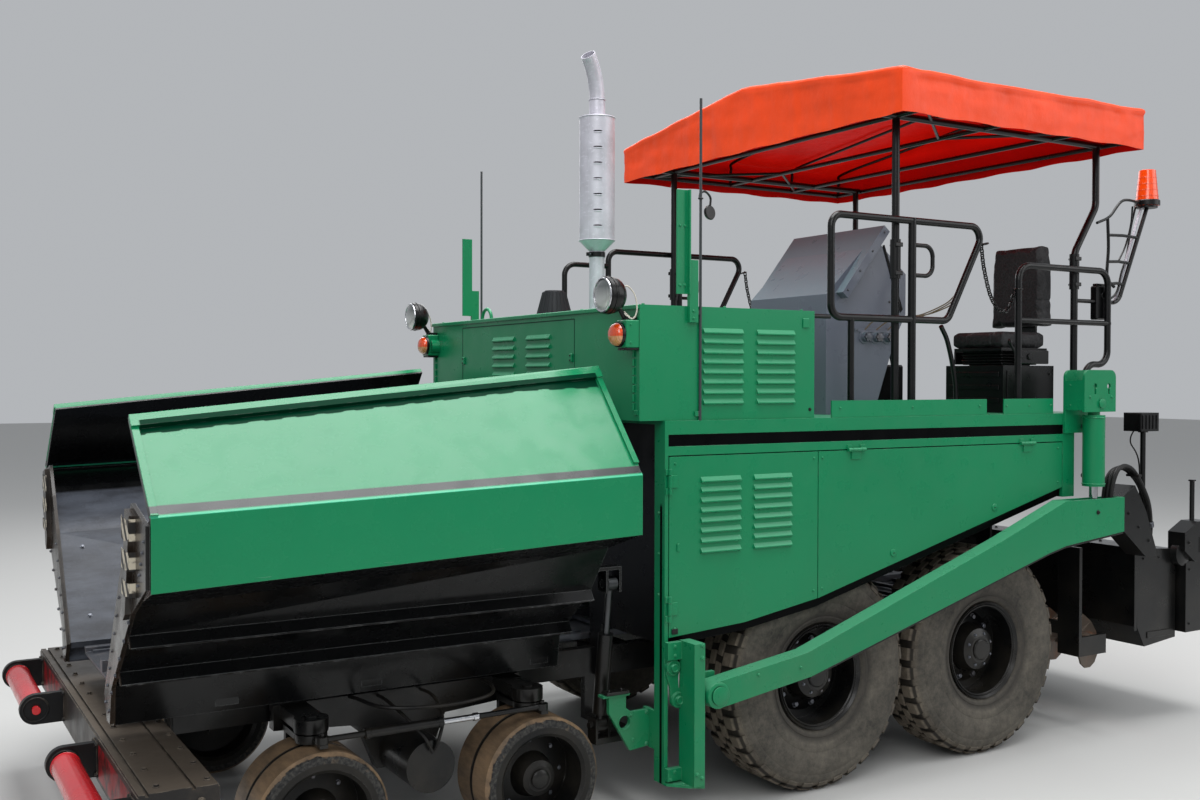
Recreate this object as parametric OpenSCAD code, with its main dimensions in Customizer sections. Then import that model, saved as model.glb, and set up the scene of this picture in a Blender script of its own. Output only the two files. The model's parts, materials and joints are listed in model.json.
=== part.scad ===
// Wheeled asphalt paver with an open hopper, a canopied deck and a raised screed.
// Work frame: X forward with 0 at the leading rear axle, Y to the left, Z up from the ground.
// place() then shifts the finished pieces so that X = 0 is the middle of the machine.

/* [Body] */
// Half of the width over the side panels
body_half_w = 1250; // [1200:5:1300]
// Front face of the side panels
body_front_x = 1060; // [1030:5:1090]
// Rear face of the side panels
body_rear_x = -1950; // [-2000:5:-1930]
// Height of the deck
deck_z = 2000; // [1980:5:2030]
// Height of the panel band along the deck's edge
band_h = 170; // [150:5:190]
// Thickness of panels, doors and hood
panel_t = 20; // [12:1:24]
// Height of the sunk stripe along the band
stripe_h = 58; // [40:2:70]

/* [Doors] */
// Where the two doors of a side meet
door_split_x = 90; // [40:5:140]
// Lower edge of the front door at its front
door_low_z = 943; // [930:1:960]
// Lower edge where the two doors meet
door_mid_z = 1052; // [1040:1:1070]
// Lower edge of the rear door at its rear
door_high_z = 1553; // [1545:1:1580]
// Gap round each door
door_gap = 6; // [5:0.5:8]

/* [Louvres] */
// Length of a door louvre
louvre_l = 245; // [220:5:260]
// Spacing of the louvres
louvre_pitch = 50; // [44:1:54]
// Number of louvres in a door column
louvre_rows = 8; // [4:1:8]
// Depth of a pressed louvre
louvre_depth = 14; // [8:1:16]

/* [Hood] */
// Front face of the hood
hood_front_x = 1200; // [1170:5:1230]
// Rear face of the hood
hood_rear_x = 110; // [90:5:140]
// Height of the hood above the deck
hood_h = 560; // [530:5:580]

/* [Hopper] */
// Length of a hopper wing along its lower fold
wing_l = 2140; // [2080:10:2160]
// Clear length between the side panels and the wings
wing_gap = 290; // [280:5:300]
// Half of the width over the open wings
wing_half_w = 1500; // [1470:5:1500]
// Sheet thickness at the wings' rim
wing_t = 18; // [12:1:22]
// Height of the hopper floor
floor_z = 830; // [820:1:840]
// Half of the width of the hopper floor
floor_half_w = 490; // [470:5:495]
/* [Push beam] */
// Top of the push beam
push_beam_z = 660; // [640:5:680]
// Depth of the push beam along the machine
push_beam_d = 300; // [270:5:310]
// Half of the width of the push beam
push_beam_half_w = 1440; // [1400:5:1460]
// Diameter of a push roller
roller_d = 118; // [100:2:124]
// Length of a push roller
roller_l = 750; // [700:5:770]
// Height of the push rollers' axis
roller_z = 550; // [535:1:560]

/* [Rear wheels] */
// Outer diameter of a rear tyre
tyre_d = 1220; // [1180:10:1230]
// Width of a rear tyre
tyre_w = 350; // [320:5:370]
// Diameter of the rim's flange
rim_d = 570; // [540:5:590]
// Distance between the two rear axles
tandem_pitch = 1260; // [1245:5:1290]
// Distance from the side panels in to the outer face of the rear tyres
tyre_inset = 45; // [40:1:60]

/* [Front wheels] */
// Diameter of a solid front wheel
front_wheel_d = 600; // [580:5:610]
// Width over the two rubber rings of a front wheel
front_wheel_w = 350; // [330:5:360]
// Outer face of the front wheels
front_wheel_face_y = 1100; // [1090:1:1110]
// Axle place of the rear pair of front wheels
front_axle_x = 1640; // [1630:5:1650]
// Distance between the two pairs of front wheels
front_pitch = 1070; // [1060:5:1090]
// Length of a steering arm
steer_arm_l = 150; // [140:5:160]

/* [Canopy] */
// Half of the width of the canopy
canopy_half_w = 1400; // [1350:5:1430]
// Front edge of the canopy
canopy_front_x = -350; // [-380:5:-320]
// Length of the canopy
canopy_l = 2065; // [2000:5:2100]
// Lower edge of the canopy's valance
eave_z = 3625; // [3600:5:3650]
// Height of the valance
valance_h = 250; // [220:5:270]
// Rise from the valance to the ridge
ridge_rise = 165; // [140:5:190]
// Diameter of the canopy's posts
post_d = 44; // [38:2:50]

/* [Deck] */
// Diameter of the handrail tubes
rail_d = 40; // [34:1:42]
// Distance from the side panels in to the handrails' plane
rail_inset = 100; // [90:5:115]
// Distance from the handrails' plane in to the canopy's posts
post_inset = 50; // [46:1:60]
// Height of the kick plates
kick_h = 90; // [80:5:100]
// Middle of the seat across the machine
seat_y = 800; // [780:5:820]
// Middle of the seat along the machine
seat_x = -1800; // [-1820:5:-1780]
// Width of the seat
seat_w = 470; // [440:5:480]

/* [Screed] */
// Pivot of the tow arms, along the machine
arm_pivot_x = 845; // [835:1:855]
// Pivot of the tow arms, height
arm_pivot_z = 670; // [660:1:680]
// Gap between the side panels and the tow arms
arm_gap = 50; // [46:1:55]
// Thickness of the tow arms
arm_t = 100; // [90:2:104]
// Diameter of the tow arms' pivot pins
arm_pin_d = 60; // [50:2:66]
// Front face of the screed
screed_front_x = -2483; // [-2500:1:-2480]
// Rear face of the screed
screed_rear_x = -3260; // [-3280:5:-3240]
// Half of the width of the screed
screed_half_w = 1300; // [1280:5:1320]
// Diameter of an auger
auger_d = 340; // [300:5:345]
// Pitch of an auger's flight
auger_pitch = 260; // [220:5:300]

/* [Cylinders] */
// Outer diameter of the lift cylinders
lift_d = 130; // [110:2:140]
// Diameter of the lift cylinders' rods
lift_rod_d = 50; // [40:2:56]
// Outer diameter of the wing cylinders
wing_cyl_d = 76; // [66:2:84]
// Diameter of the wing cylinders' rods
wing_rod_d = 36; // [30:2:42]

/* [Hidden] */
$fn = 48;
// Running clearance of a pin, on the radius
fit = 0.05;
// Gap between faces of pieces that seat on each other
seat_gap = 0.3;
// Depth of a straight tube in a bend, and the bend's extra wall
sleeve_in = 2;
sleeve_t = 0.5;

wing_rear_x = body_front_x + wing_gap;
wing_front_x = wing_rear_x + wing_l;
roller_x = wing_front_x + 170;
roller_y = 550;
bracket_d = 150;
machine_front_x = roller_x + bracket_d / 2;
machine_mid_x = (machine_front_x + screed_rear_x) / 2;
deck_t = 20;
door_top_z = deck_z - band_h - door_gap;
door_front_x = body_front_x - 20 - door_gap;
door_rear_x = body_rear_x + 110;
hinge_y = body_half_w + 12;
hinge_pin_d = 10;
hinge_d = 20;
front_hinge_z = [door_top_z - 120, door_low_z + 140];
rear_hinge_x = [door_split_x - 260, door_rear_x + 320];
hood_top_z = deck_z + hood_h;
rail_half_y = 560;
rail_h = 150;
rail_low_z = 620;
floor_low_z = floor_z - 26;
rim_y = 1080;
wing_rear_z = [2255, 1766, 1493];
wing_front_z = [2045, 1690, 1410];
rear_axle_z = tyre_d / 2;
tyre_face_y = body_half_w - tyre_inset;
tyre_y = tyre_face_y - tyre_w / 2;
rail_y = body_half_w - rail_inset;
post_y = rail_y - post_inset;
post_sleeve_d = 2 * (post_inset - rail_d / 2 - seat_gap);
arm_y = body_half_w + arm_gap;
rear_pivot_z = 545;
front_axle_z = front_wheel_d / 2;
knuckle_z = front_wheel_d + 12;
socket_z = knuckle_z + 44;
steer_arm_z = knuckle_z + 8;
front_wheel_y = front_wheel_face_y - front_wheel_w / 2;
front_pivot_x = front_axle_x + front_pitch / 2;
front_eye = [body_front_x + 143, 522];
steer_pin_d = 20;
engine_low_z = 1360;
lamp_y = body_half_w - 60;
wall_t = 20;
foot_z = 240;
foot_t = 14;
slide_x = [918, 980];
wall_half_w = body_half_w - 45;
wing_hinge_y = 600;
wing_hinge_z = 780;
wing_pin_d = 30;
wing_hinge_x = [wing_rear_x + 60, wing_rear_x + 950, wing_front_x - 520];
lift_top = [-2000, 2060];
lift_eye = [-2000, 1400];
lift_y = arm_y + arm_t / 2;
wing_cyl_x = wing_rear_x - 100;
wing_base = [950, 480];
wing_eye = [1050, 1200];
auger_x = -2290;
auger_z = 540;
canopy_rear_x = canopy_front_x - canopy_l;
cover_t = 14;
front_post_x = -600;
rear_post_x = canopy_rear_x + 85;

// Shifts a piece from the work frame to the machine's own frame
module place() {
    translate([-machine_mid_x, 0, 0]) children();
}

// Repeats a piece on both sides of the machine
module both_sides() {
    children();
    mirror([0, 1, 0]) children();
}

// The right-hand twin of a left-hand piece
module right_side() {
    mirror([0, 1, 0]) children();
}

// A block between two corners
module block(low, high) {
    translate(low) cube(high - low);
}

// A plate outlined in X and Z, from one Y to another
module side_plate(points, y0, y1) {
    translate([0, y1, 0]) rotate([90, 0, 0]) linear_extrude(y1 - y0) polygon(points);
}

// A section outlined in Y and Z, from one X to another
module cross_section(points, x0, x1) {
    translate([x0, 0, 0]) rotate([90, 0, 90]) linear_extrude(x1 - x0) polygon(points);
}

// A round bar along Y, centred on a place in X and Z
module bar_y(x, z, d, y0, y1) {
    translate([x, y1, z]) rotate([90, 0, 0]) cylinder(d = d, h = y1 - y0);
}

// A round bar along X, centred on a place in Y and Z
module bar_x(y, z, d, x0, x1) {
    translate([x0, y, z]) rotate([0, 90, 0]) cylinder(d = d, h = x1 - x0);
}

// A straight round tube between two points
module bar(a, b, d) {
    v = b - a;
    len = norm(v);
    translate(a)
        rotate([0, acos(v[2] / len), atan2(v[1], v[0])])
            cylinder(d = d, h = len);
}

// A bent tube: straight runs through the points, with a round sleeve bend at each inner one
module tube(points, d, bend) {
    last = len(points) - 1;
    for (i = [0 : last - 1]) {
        run = points[i + 1] - points[i];
        dir = run / norm(run);
        cut_a = i == 0 ? 0 : bend_cut(points[i - 1], points[i], points[i + 1], bend) - sleeve_in;
        cut_b = i == last - 1 ? 0 : bend_cut(points[i], points[i + 1], points[i + 2], bend) - sleeve_in;
        bar(points[i] + dir * cut_a, points[i + 1] - dir * cut_b, d);
    }
    for (i = [1 : 1 : last - 1])
        tube_bend(points[i - 1], points[i], points[i + 1], d, bend);
}

function unit(v) = v / norm(v);

function turn_deg(a, b, c) = acos(unit(b - a) * unit(c - b));

function bend_cut(a, b, c, bend) = bend * tan(turn_deg(a, b, c) / 2);

module tube_bend(a, b, c, d, bend) {
    u = unit(b - a);
    v = unit(c - b);
    n = unit(v - u * (u * v));
    w = cross(u, n);
    m = b - u * bend_cut(a, b, c, bend) + n * bend;
    multmatrix([
        [-n[0], u[0], w[0], m[0]],
        [-n[1], u[1], w[1], m[1]],
        [-n[2], u[2], w[2], m[2]],
        [0, 0, 0, 1]
    ])
        rotate_extrude(angle = turn_deg(a, b, c), $fn = 30)
            translate([bend, 0]) circle(d = d + 2 * sleeve_t, $fn = 16);
}

// A column of pressed louvres on a face that looks along +Y
module louvres_y(x, z_top, y, length, rows) {
    for (row = [0 : rows - 1])
        translate([x - length / 2, y, z_top - row * louvre_pitch])
            rotate([90, 0, 90]) linear_extrude(length)
                polygon([[0, 0], [0, -30], [louvre_depth, -26], [louvre_depth, -20]]);
}

// A column of pressed louvres on a face that looks along +X
module louvres_x(y, z_top, x, length, rows) {
    translate([x, y, 0]) rotate([0, 0, -90])
        louvres_y(0, z_top, 0, length, rows);
}

// Main rails, cross members, bulkheads and the auger's support frame
module chassis_frame() {
    front_wall_x = body_front_x - panel_t - seat_gap;
    color("#15171a") {
        both_sides()
            block([body_rear_x, rail_half_y - 60, rail_low_z],
                  [wing_front_x - 270, rail_half_y, rail_low_z + rail_h]);
        for (x = [wing_front_x - 340, front_pivot_x, 1180, 420, -tandem_pitch / 2, body_rear_x + 150])
            block([x - 45, -rail_half_y + 30, rail_low_z + 10],
                  [x + 45, rail_half_y - 30, floor_low_z - seat_gap]);
        both_sides() wing_hinge_line();
        difference() {
            block([front_wall_x - wall_t, -wall_half_w, rail_low_z],
                  [front_wall_x, wall_half_w, deck_z - deck_t]);
            block([front_wall_x - 60, -floor_half_w - 10, floor_z - 60],
                  [body_front_x, floor_half_w + 10, floor_z + 420]);
            both_sides() block([front_wall_x - 60, rail_half_y + 60, rail_low_z - 10],
                               [body_front_x, body_half_w, door_low_z - 40]);
        }
        difference() {
            block([body_rear_x, -body_half_w + 90 + seat_gap, rail_low_z + 40],
                  [body_rear_x + wall_t, body_half_w - 90 - seat_gap, deck_z - deck_t]);
            block([body_rear_x - 10, -floor_half_w - 10, floor_z - 60],
                  [body_rear_x + 60, floor_half_w + 10, floor_z + 330]);
            both_sides() block([body_rear_x - 10, rail_half_y + 60, rail_low_z - 10],
                               [body_rear_x + 60, body_half_w, door_high_z - 40]);
        }
        both_sides() wing_cylinder_bracket();
        auger_support();
        engine_bearers();
    }
}

// Two bearers under the engine, from the front wall to a portal on the rails
module engine_bearers() {
    both_sides() {
        block([150, rail_half_y - 60, rail_low_z + rail_h - 1], [200, rail_half_y, 1300]);
        block([150, 300, 1299], [body_front_x - panel_t - 2, 360, engine_low_z - seat_gap]);
    }
    block([150, -rail_half_y, 1260], [200, rail_half_y, 1300]);
}

// Hinge rod of a wing with its ears on the main rail
module wing_hinge_line() {
    for (x = wing_hinge_x) {
        bar_x(wing_hinge_y, wing_hinge_z, wing_pin_d, x - 50, x + 150);
        for (ear_x = [x - 42, x + 106])
            block([ear_x, rail_half_y - 20, wing_hinge_z - 40],
                  [ear_x + 36, wing_hinge_y + 22, wing_hinge_z - 10]);
        for (ear_x = [x - 42, x + 106])
            bar_x(wing_hinge_y, wing_hinge_z, 50, ear_x, ear_x + 36);
    }
}

// Clevis of a wing cylinder, on a stay from the front bulkhead
module wing_cylinder_bracket() {
    for (x = [wing_cyl_x - 42, wing_cyl_x + 30])
        side_stay(x);
    block([body_front_x - 42, wing_base[0] - 40, wing_base[1] - 90],
          [wing_cyl_x + 42, wing_base[0] + 40, wing_base[1] - 60]);
    block([body_front_x - 42, rail_half_y - 50, wing_base[1] - 90],
          [body_front_x + 40, wing_base[0] + 40, wing_base[1] - 60]);
    block([body_front_x - 42, rail_half_y - 50, wing_base[1] - 90],
          [body_front_x + 40, rail_half_y - 10, rail_low_z + 20]);
    bar_x(wing_base[0], wing_base[1], 36, wing_cyl_x - 60, wing_cyl_x + 60);
}

module side_stay(x) {
    block([x, wing_base[0] - 40, wing_base[1] - 70],
          [x + 12, wing_base[0] + 40, wing_base[1] + 36]);
}

// Hangers and end bearings that carry the augers behind the rear wheels
module auger_support() {
    both_sides() {
        block([auger_x + 200, rail_half_y - 60, auger_z + 60],
              [body_rear_x + 30, rail_half_y - 20, auger_z + 140]);
        block([auger_x + 190, 1040, auger_z - 60],
              [auger_x + 215, 1200, auger_z + 620]);
        block([auger_x + 190, 60, auger_z + 60],
              [auger_x + 215, 1160, auger_z + 140]);
        block([auger_x - 45, 1178, auger_z - 60],
              [auger_x + 215, 1200, auger_z + 60]);
    }
    block([auger_x - 60, -70, auger_z - 90], [auger_x + 215, 70, auger_z + 140]);
    both_sides()
        bar_y(auger_x, auger_z, 60, 69, 1190);
}

// Walking beams, cross axles and the front wheels' kingpin sockets
module axle_beams() {
    color("#101114") {
        both_sides() {
            rear_walking_beam();
            front_walking_beam();
        }
        bar_y(front_pivot_x, 430, 110, -700, 700);
        bar_y(-tandem_pitch / 2, rear_pivot_z, 110, -720, 720);
        both_sides() {
            block([front_pivot_x - 50, rail_half_y - 55, 430],
                  [front_pivot_x + 50, rail_half_y - 5, rail_low_z - seat_gap]);
            block([-tandem_pitch / 2 - 60, rail_half_y - 58, rear_pivot_z],
                  [-tandem_pitch / 2 + 60, rail_half_y - 2, rail_low_z - seat_gap]);
        }
    }
}

module rear_walking_beam() {
    side_plate([
        [180, rear_axle_z - 90], [180, rear_axle_z + 90],
        [-tandem_pitch / 2 + 200, rear_axle_z + 130], [-tandem_pitch / 2 - 200, rear_axle_z + 130],
        [-tandem_pitch - 180, rear_axle_z + 90], [-tandem_pitch - 180, rear_axle_z - 90],
        [-tandem_pitch / 2 - 200, rear_pivot_z - 80], [-tandem_pitch / 2 + 200, rear_pivot_z - 80]
    ], 640, 740);
    for (x = [0, -tandem_pitch])
        bar_y(x, rear_axle_z, 90, 700, tyre_y + 80);
}

module front_walking_beam() {
    side_plate([
        [front_axle_x - 90, 600], [front_axle_x - 90, socket_z + 60],
        [front_axle_x + front_pitch + 90, socket_z + 60],
        [front_axle_x + front_pitch + 90, 600], [front_pivot_x + 220, 570],
        [front_pivot_x + 130, 350], [front_pivot_x - 130, 350], [front_pivot_x - 220, 570]
    ], 590, 660);
    bar_y(front_pivot_x, 430, 240, 640, 1000);
    for (x = [front_axle_x, front_axle_x + front_pitch])
        difference() {
            kingpin_socket(x);
            translate([x, front_wheel_y, socket_z - 10]) cylinder(d = 60 + 2 * fit, h = 100);
        }
}

module kingpin_socket(x) {
    block([x - 60, 620, socket_z], [x + 60, front_wheel_y, socket_z + 60]);
    translate([x, front_wheel_y, socket_z]) cylinder(d = 150, h = 60);
}

// Push beam with its top strips and the brackets of the two rollers
module push_beam() {
    rear = roller_x - 130 - push_beam_d;
    front = roller_x - 130;
    color("#3a3733") {
        block([rear, -push_beam_half_w, push_beam_z - 200], [front, push_beam_half_w, push_beam_z - 12]);
        block([rear + 6, -push_beam_half_w, push_beam_z - 13],
              [rear + 90, push_beam_half_w, push_beam_z - 3]);
        block([rear + 104, -push_beam_half_w, push_beam_z - 13],
              [front - 40, push_beam_half_w, push_beam_z]);
        block([front - 28, -push_beam_half_w, push_beam_z - 13],
              [front - 4, push_beam_half_w, push_beam_z - 2]);
        both_sides() {
            roller_bracket(roller_y - 62);
            roller_bracket(roller_y + roller_l + 26);
            block([wing_front_x - 270 + seat_gap, rail_half_y - 58, 480],
                  [rear + 1, rail_half_y - 2, rail_low_z + rail_h]);
        }
    }
}

// Ear plate that carries one end of a push roller, with its pin
module roller_bracket(y) {
    front = roller_x - 130;
    difference() {
        union() {
            block([front - 1, y, roller_z - 75], [roller_x, y + 36, roller_z + 75]);
            bar_y(roller_x, roller_z, bracket_d, y, y + 36);
        }
        bar_y(roller_x, roller_z, 40 + 2 * fit, y - 1, y + 37);
    }
}

// Push roller with its spindle
module push_roller() {
    color("#c8323a") {
        bar_y(roller_x, roller_z, roller_d, roller_y, roller_y + roller_l);
        bar_y(roller_x, roller_z, 40, roller_y - 90, roller_y + roller_l + 80);
    }
}

// Floor plates of the hopper and of the tunnel through the body
module conveyor_floor() {
    color("#5d6168") {
        block([body_rear_x + 25, -floor_half_w, floor_low_z], [wing_front_x - 60, floor_half_w, floor_z - 14]);
        block([body_rear_x + 25, -34, floor_z - 15], [wing_front_x - 60, 34, floor_z + 40]);
        both_sides()
            block([body_rear_x + 25, floor_half_w - 24, floor_z - 15],
                  [wing_front_x - 60, floor_half_w, floor_z + 8]);
        both_sides()
            block([wing_rear_x, floor_half_w - 1, floor_z - 4],
                  [wing_front_x - 60, floor_half_w + 22, floor_z + 8]);
    }
}

// Slats and chains that carry the mix from the hopper to the augers
module slat_conveyors() {
    lane_in = 50;
    lane_out = floor_half_w - 34;
    color("#4a4c50")
        both_sides() {
            for (y = [lane_in, lane_out - 26])
                block([body_rear_x + 60, y, floor_z - 13.7], [wing_front_x - 90, y + 26, floor_z - 2]);
            for (x = [body_rear_x + 80 : 210 : wing_front_x - 130])
                block([x, lane_in - 4, floor_z - 3], [x + 36, lane_out + 4, floor_z + 16]);
        }
}

// Deck, side bands with their sunk stripe, corner posts and the lips under the doors
module body_shell() {
    color("#1f8a5e") {
        difference() {
            block([body_rear_x, -body_half_w, deck_z - deck_t], [body_front_x, body_half_w, deck_z]);
            block([200, -500, deck_z - 50], [body_front_x - 30, 500, deck_z + 10]);
        }
        block([-2200, -body_half_w + 70, deck_z - deck_t], [body_rear_x + 1, body_half_w - 70, deck_z]);
        both_sides() {
            difference() {
                block([body_rear_x, body_half_w - panel_t, deck_z - band_h], [body_front_x, body_half_w, deck_z]);
                block([body_rear_x + 20, body_half_w - 4, deck_z - 68 - stripe_h],
                      [body_front_x - 6, body_half_w + 10, deck_z - 68]);
            }
            block([body_front_x - 20, body_half_w - 90, 232], [body_front_x, body_half_w, deck_z - 10]);
            foot_plate();
            block([body_front_x - 20, body_half_w - 190, 380], [body_front_x, body_half_w - 80, 570]);
            block([body_rear_x, body_half_w - 90, door_high_z - 60], [door_rear_x - door_gap, body_half_w, deck_z - 10]);
            door_lip();
            for (z = front_hinge_z)
                upright_hinge(door_front_x + door_gap / 2, z, false);
            for (x = rear_hinge_x)
                level_hinge(x, door_top_z + door_gap / 2, false);
        }
    }
}

// Foot plate between the corner post and the tow-point slide
module foot_plate() {
    translate([0, 0, foot_z - foot_t]) linear_extrude(foot_t)
        polygon([[body_front_x, body_half_w - 90], [body_front_x, body_half_w + 20], [slide_x[1], arm_y + 50],
                 [slide_x[0], arm_y + arm_t - 10], [slide_x[0], body_half_w + 5],
                 [body_front_x - 40, body_half_w - 90]]);
}

// Folded lip that runs along the lower edge of the doors
module door_lip() {
    side_plate([
        [body_front_x - 20, door_low_z - 46], [body_front_x - 20, door_low_z - 8],
        [570, door_low_z + 24], [door_split_x, door_mid_z - 8],
        [door_rear_x - 10, door_high_z - 8], [door_rear_x - 10, door_high_z - 50],
        [door_split_x, door_mid_z - 50], [570, door_low_z - 14]
    ], tyre_face_y + 7, body_half_w - panel_t - 4);
}

// Barrel hinge on an upright edge: the moving knuckle, or the fixed ones with their pin
module upright_hinge(x, z, moving) {
    if (moving)
        difference() {
            union() {
                translate([x, hinge_y, z - 30]) cylinder(d = hinge_d, h = 60);
                block([x - 50, body_half_w - 1, z - 30], [x - 3, body_half_w + 8, z + 30]);
            }
            translate([x, hinge_y, z - 31]) cylinder(d = hinge_pin_d + 2 * fit, h = 62);
        }
    else
        for (low = [z - 62, z + 32]) {
            translate([x, hinge_y, low]) cylinder(d = hinge_d, h = 30);
            block([x + 3, body_half_w - 1, low], [x + 22, body_half_w + 8, low + 30]);
            translate([x, hinge_y, z - 60]) cylinder(d = hinge_pin_d, h = 120);
        }
}

// Barrel hinge along the upper edge of a rear door
module level_hinge(x, z, moving) {
    if (moving)
        difference() {
            union() {
                bar_x(hinge_y, z, hinge_d, x - 30, x + 30);
                block([x - 30, body_half_w - 1, z - 50], [x + 30, body_half_w + 8, z - 3]);
            }
            bar_x(hinge_y, z, hinge_pin_d + 2 * fit, x - 31, x + 31);
        }
    else
        for (low = [x - 62, x + 32]) {
            bar_x(hinge_y, z, hinge_d, low, low + 30);
            block([low, body_half_w - 1, z + 3], [low + 30, body_half_w + 8, z + 26]);
            bar_x(hinge_y, z, hinge_pin_d, x - 60, x + 60);
        }
}

// Side door outlined by its lower edge
module door_panel(points) {
    side_plate(points, body_half_w - panel_t, body_half_w);
}

module door_front() {
    color("#1f8a5e") {
        door_panel([
            [door_front_x, door_top_z], [door_front_x, door_low_z], [570, door_low_z + 31],
            [door_split_x + door_gap / 2, door_mid_z], [door_split_x + door_gap / 2, door_top_z]
        ]);
        for (x = [725, 395])
            louvres_y(x, door_top_z - 104, body_half_w - 0.1, louvre_l, louvre_rows);
        for (z = front_hinge_z)
            upright_hinge(door_front_x + door_gap / 2, z, true);
    }
}

module door_rear() {
    color("#1f8a5e") {
        door_panel([
            [door_split_x - door_gap / 2, door_top_z], [door_split_x - door_gap / 2, door_mid_z],
            [door_rear_x, door_high_z], [door_rear_x, door_top_z]
        ]);
        for (x = rear_hinge_x)
            level_hinge(x, door_top_z + door_gap / 2, true);
    }
}

// Hood over the engine, open below, with pressed louvres
module hood() {
    w = body_half_w - 12;
    color("#1f8a5e") {
        difference() {
            block([hood_rear_x, -w, deck_z + seat_gap], [hood_front_x, w, hood_top_z]);
            block([hood_rear_x + panel_t, -w + panel_t, deck_z - 10],
                  [hood_front_x - panel_t, w - panel_t, hood_top_z - panel_t]);
        }
        both_sides()
            for (x = [705, 370])
                louvres_y(x, hood_top_z - 105, w - 0.1, louvre_l, louvre_rows);
        for (y = [-210, 215])
            louvres_x(y, hood_top_z - 115, hood_front_x - 0.1, 270, 5);
        translate([hood_front_x - 30, -500, hood_top_z - 2]) rotate([90, 0, 90])
            rotate_extrude(angle = 180) translate([62, 0]) circle(d = 20);
    }
}

// Engine as one plain block on the cross members
module engine_block() {
    color("#2b2d30")
        block([250, -420, engine_low_z], [1000, 420, hood_top_z - 120]);
}

// Exhaust with its silencer and curved tip
module exhaust() {
    x = 640;
    y = -100;
    base_z = hood_top_z + seat_gap;
    color("#b9bcc0") {
        translate([x, y, base_z]) cylinder(d = 180, h = 12);
        translate([x, y, base_z]) cylinder(d = 90, h = 460);
        translate([x, y, 2960]) cylinder(d1 = 90, d2 = 210, h = 60);
        translate([x, y, 3019]) cylinder(d = 210, h = 735);
        translate([x, y, 3750]) cylinder(d = 96, h = 100);
        exhaust_tip(x, y, 3849);
    }
}

module exhaust_tip(x, y, z) {
    difference() {
        translate([x, y, z]) rotate([0, 0, 25]) translate([380, 0, 0]) rotate([90, 0, 0])
            rotate_extrude(angle = -42) translate([-380, 0]) circle(d = 90);
        translate([x, y, z]) rotate([0, 0, 25]) translate([380, 0, 0]) rotate([90, 0, 0])
            rotate([0, 0, -24]) rotate_extrude(angle = -30) translate([-380, 0]) circle(d = 80);
    }
}

// Pre-cleaner cap on the hood
module air_cleaner() {
    z = hood_top_z + seat_gap;
    color("#3c3e42") translate([720, -480, z]) {
        cylinder(d = 240, h = 40);
        translate([0, 0, 39]) cylinder(d1 = 215, d2 = 140, h = 140);
    }
}

// Headlamps on their brackets
module headlamps() {
    color("#1b1c1f")
        both_sides() {
            block([hood_front_x + seat_gap, lamp_y - 20, hood_top_z - 90],
                  [hood_front_x + 60, lamp_y + 25, hood_top_z - 60]);
            bar([hood_front_x + 50, lamp_y, hood_top_z - 75], [hood_front_x + 90, lamp_y, hood_top_z - 10], 24);
            translate([hood_front_x + 60, lamp_y, hood_top_z + 40]) rotate([0, 90, 0])
                rotate_extrude() polygon(concat([[0, 0]], [for (a = [20 : 10 : 90]) [88 * sin(a), 76 - 76 * cos(a)]],
                    [[88, 112], [78, 118], [0, 118]]));
        }
}

// Work lamps on posts that stand on the screed
module work_lamps() {
    color("#1b1c1f")
        both_sides() {
            block([-2820, 1090, 1123.2], [-2740, 1180, 1135]);
            bar([-2780, 1135, 1134], [-2780, 1135, 1880], 34);
            block([-2850, 1070, 1870], [-2670, 1200, 1990]);
        }
}

// Amber beacon and signal lamps
module amber_lamps() {
    color("#ff6a1a") {
        translate([rear_post_x - 520, post_y, 3345]) cylinder(d1 = 150, d2 = 105, h = 230);
        both_sides()
            translate([hood_front_x + seat_gap, lamp_y - 25, hood_top_z - 150]) rotate([0, 90, 0])
                cylinder(d = 90, h = 55);
    }
}

// Upright posts at the hood's corners and the thin marker rods
module guide_posts() {
    z = deck_z + seat_gap;
    post_y = body_half_w - 12 + seat_gap;
    color("#1f8a5e")
        both_sides() {
            block([922, post_y, 2618], [990, post_y + 8, 3125]);
            block([922, post_y, 2618], [930, post_y + 30, 3125]);
            block([872, post_y, hood_top_z - 80], [923, post_y + 22, 2785]);
            bar([850, post_y + 8, z], [850, post_y + 8, 3580], 14);
            for (low = [z + 20, hood_top_z - 40])
                block([849, post_y, low], [880, post_y + 10, low + 24]);
        }
}

// Control desk with its slanted lid and three knobs
module console() {
    z = deck_z + seat_gap;
    color("#6b6e73") {
        side_plate([
            [-330, z], [-330, 2690], [-690, 3040], [-950, 2830], [-950, 2590], [-860, 2430], [-700, z]
        ], 140, 830);
        side_plate([[-400, 2700], [-720, 3100], [-762, 3066], [-440, 2668]], 80, 890);
        for (x = [-620, -710, -800])
            bar_y(x, 2450, 58, 829, 862);
    }
}

// Base box, cushion and back of the operator's seat
module seat_base() {
    z = deck_z + seat_gap;
    color("#141517") {
        block([seat_x - 230, seat_y - 230, z], [seat_x + 230, seat_y + 230, z + 290]);
        block([seat_x - 130, seat_y - 130, z + 289], [seat_x + 130, seat_y + 130, 2390]);
        block([seat_x - 215, seat_y - 190, 2380], [seat_x + 200, seat_y + 190, 2400]);
        block([seat_x - 262, seat_y - 60, 2380], [seat_x - 200, seat_y + 60, 2400]);
        block([seat_x - 280, seat_y - 60, 2381], [seat_x - 262, seat_y + 60, 2900]);
    }
}

module seat_cushion() {
    color("#1d1d1f")
        block([seat_x - 205, seat_y - seat_w / 2, 2400 + seat_gap],
              [seat_x + 235, seat_y + seat_w / 2, 2500]);
}

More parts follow.
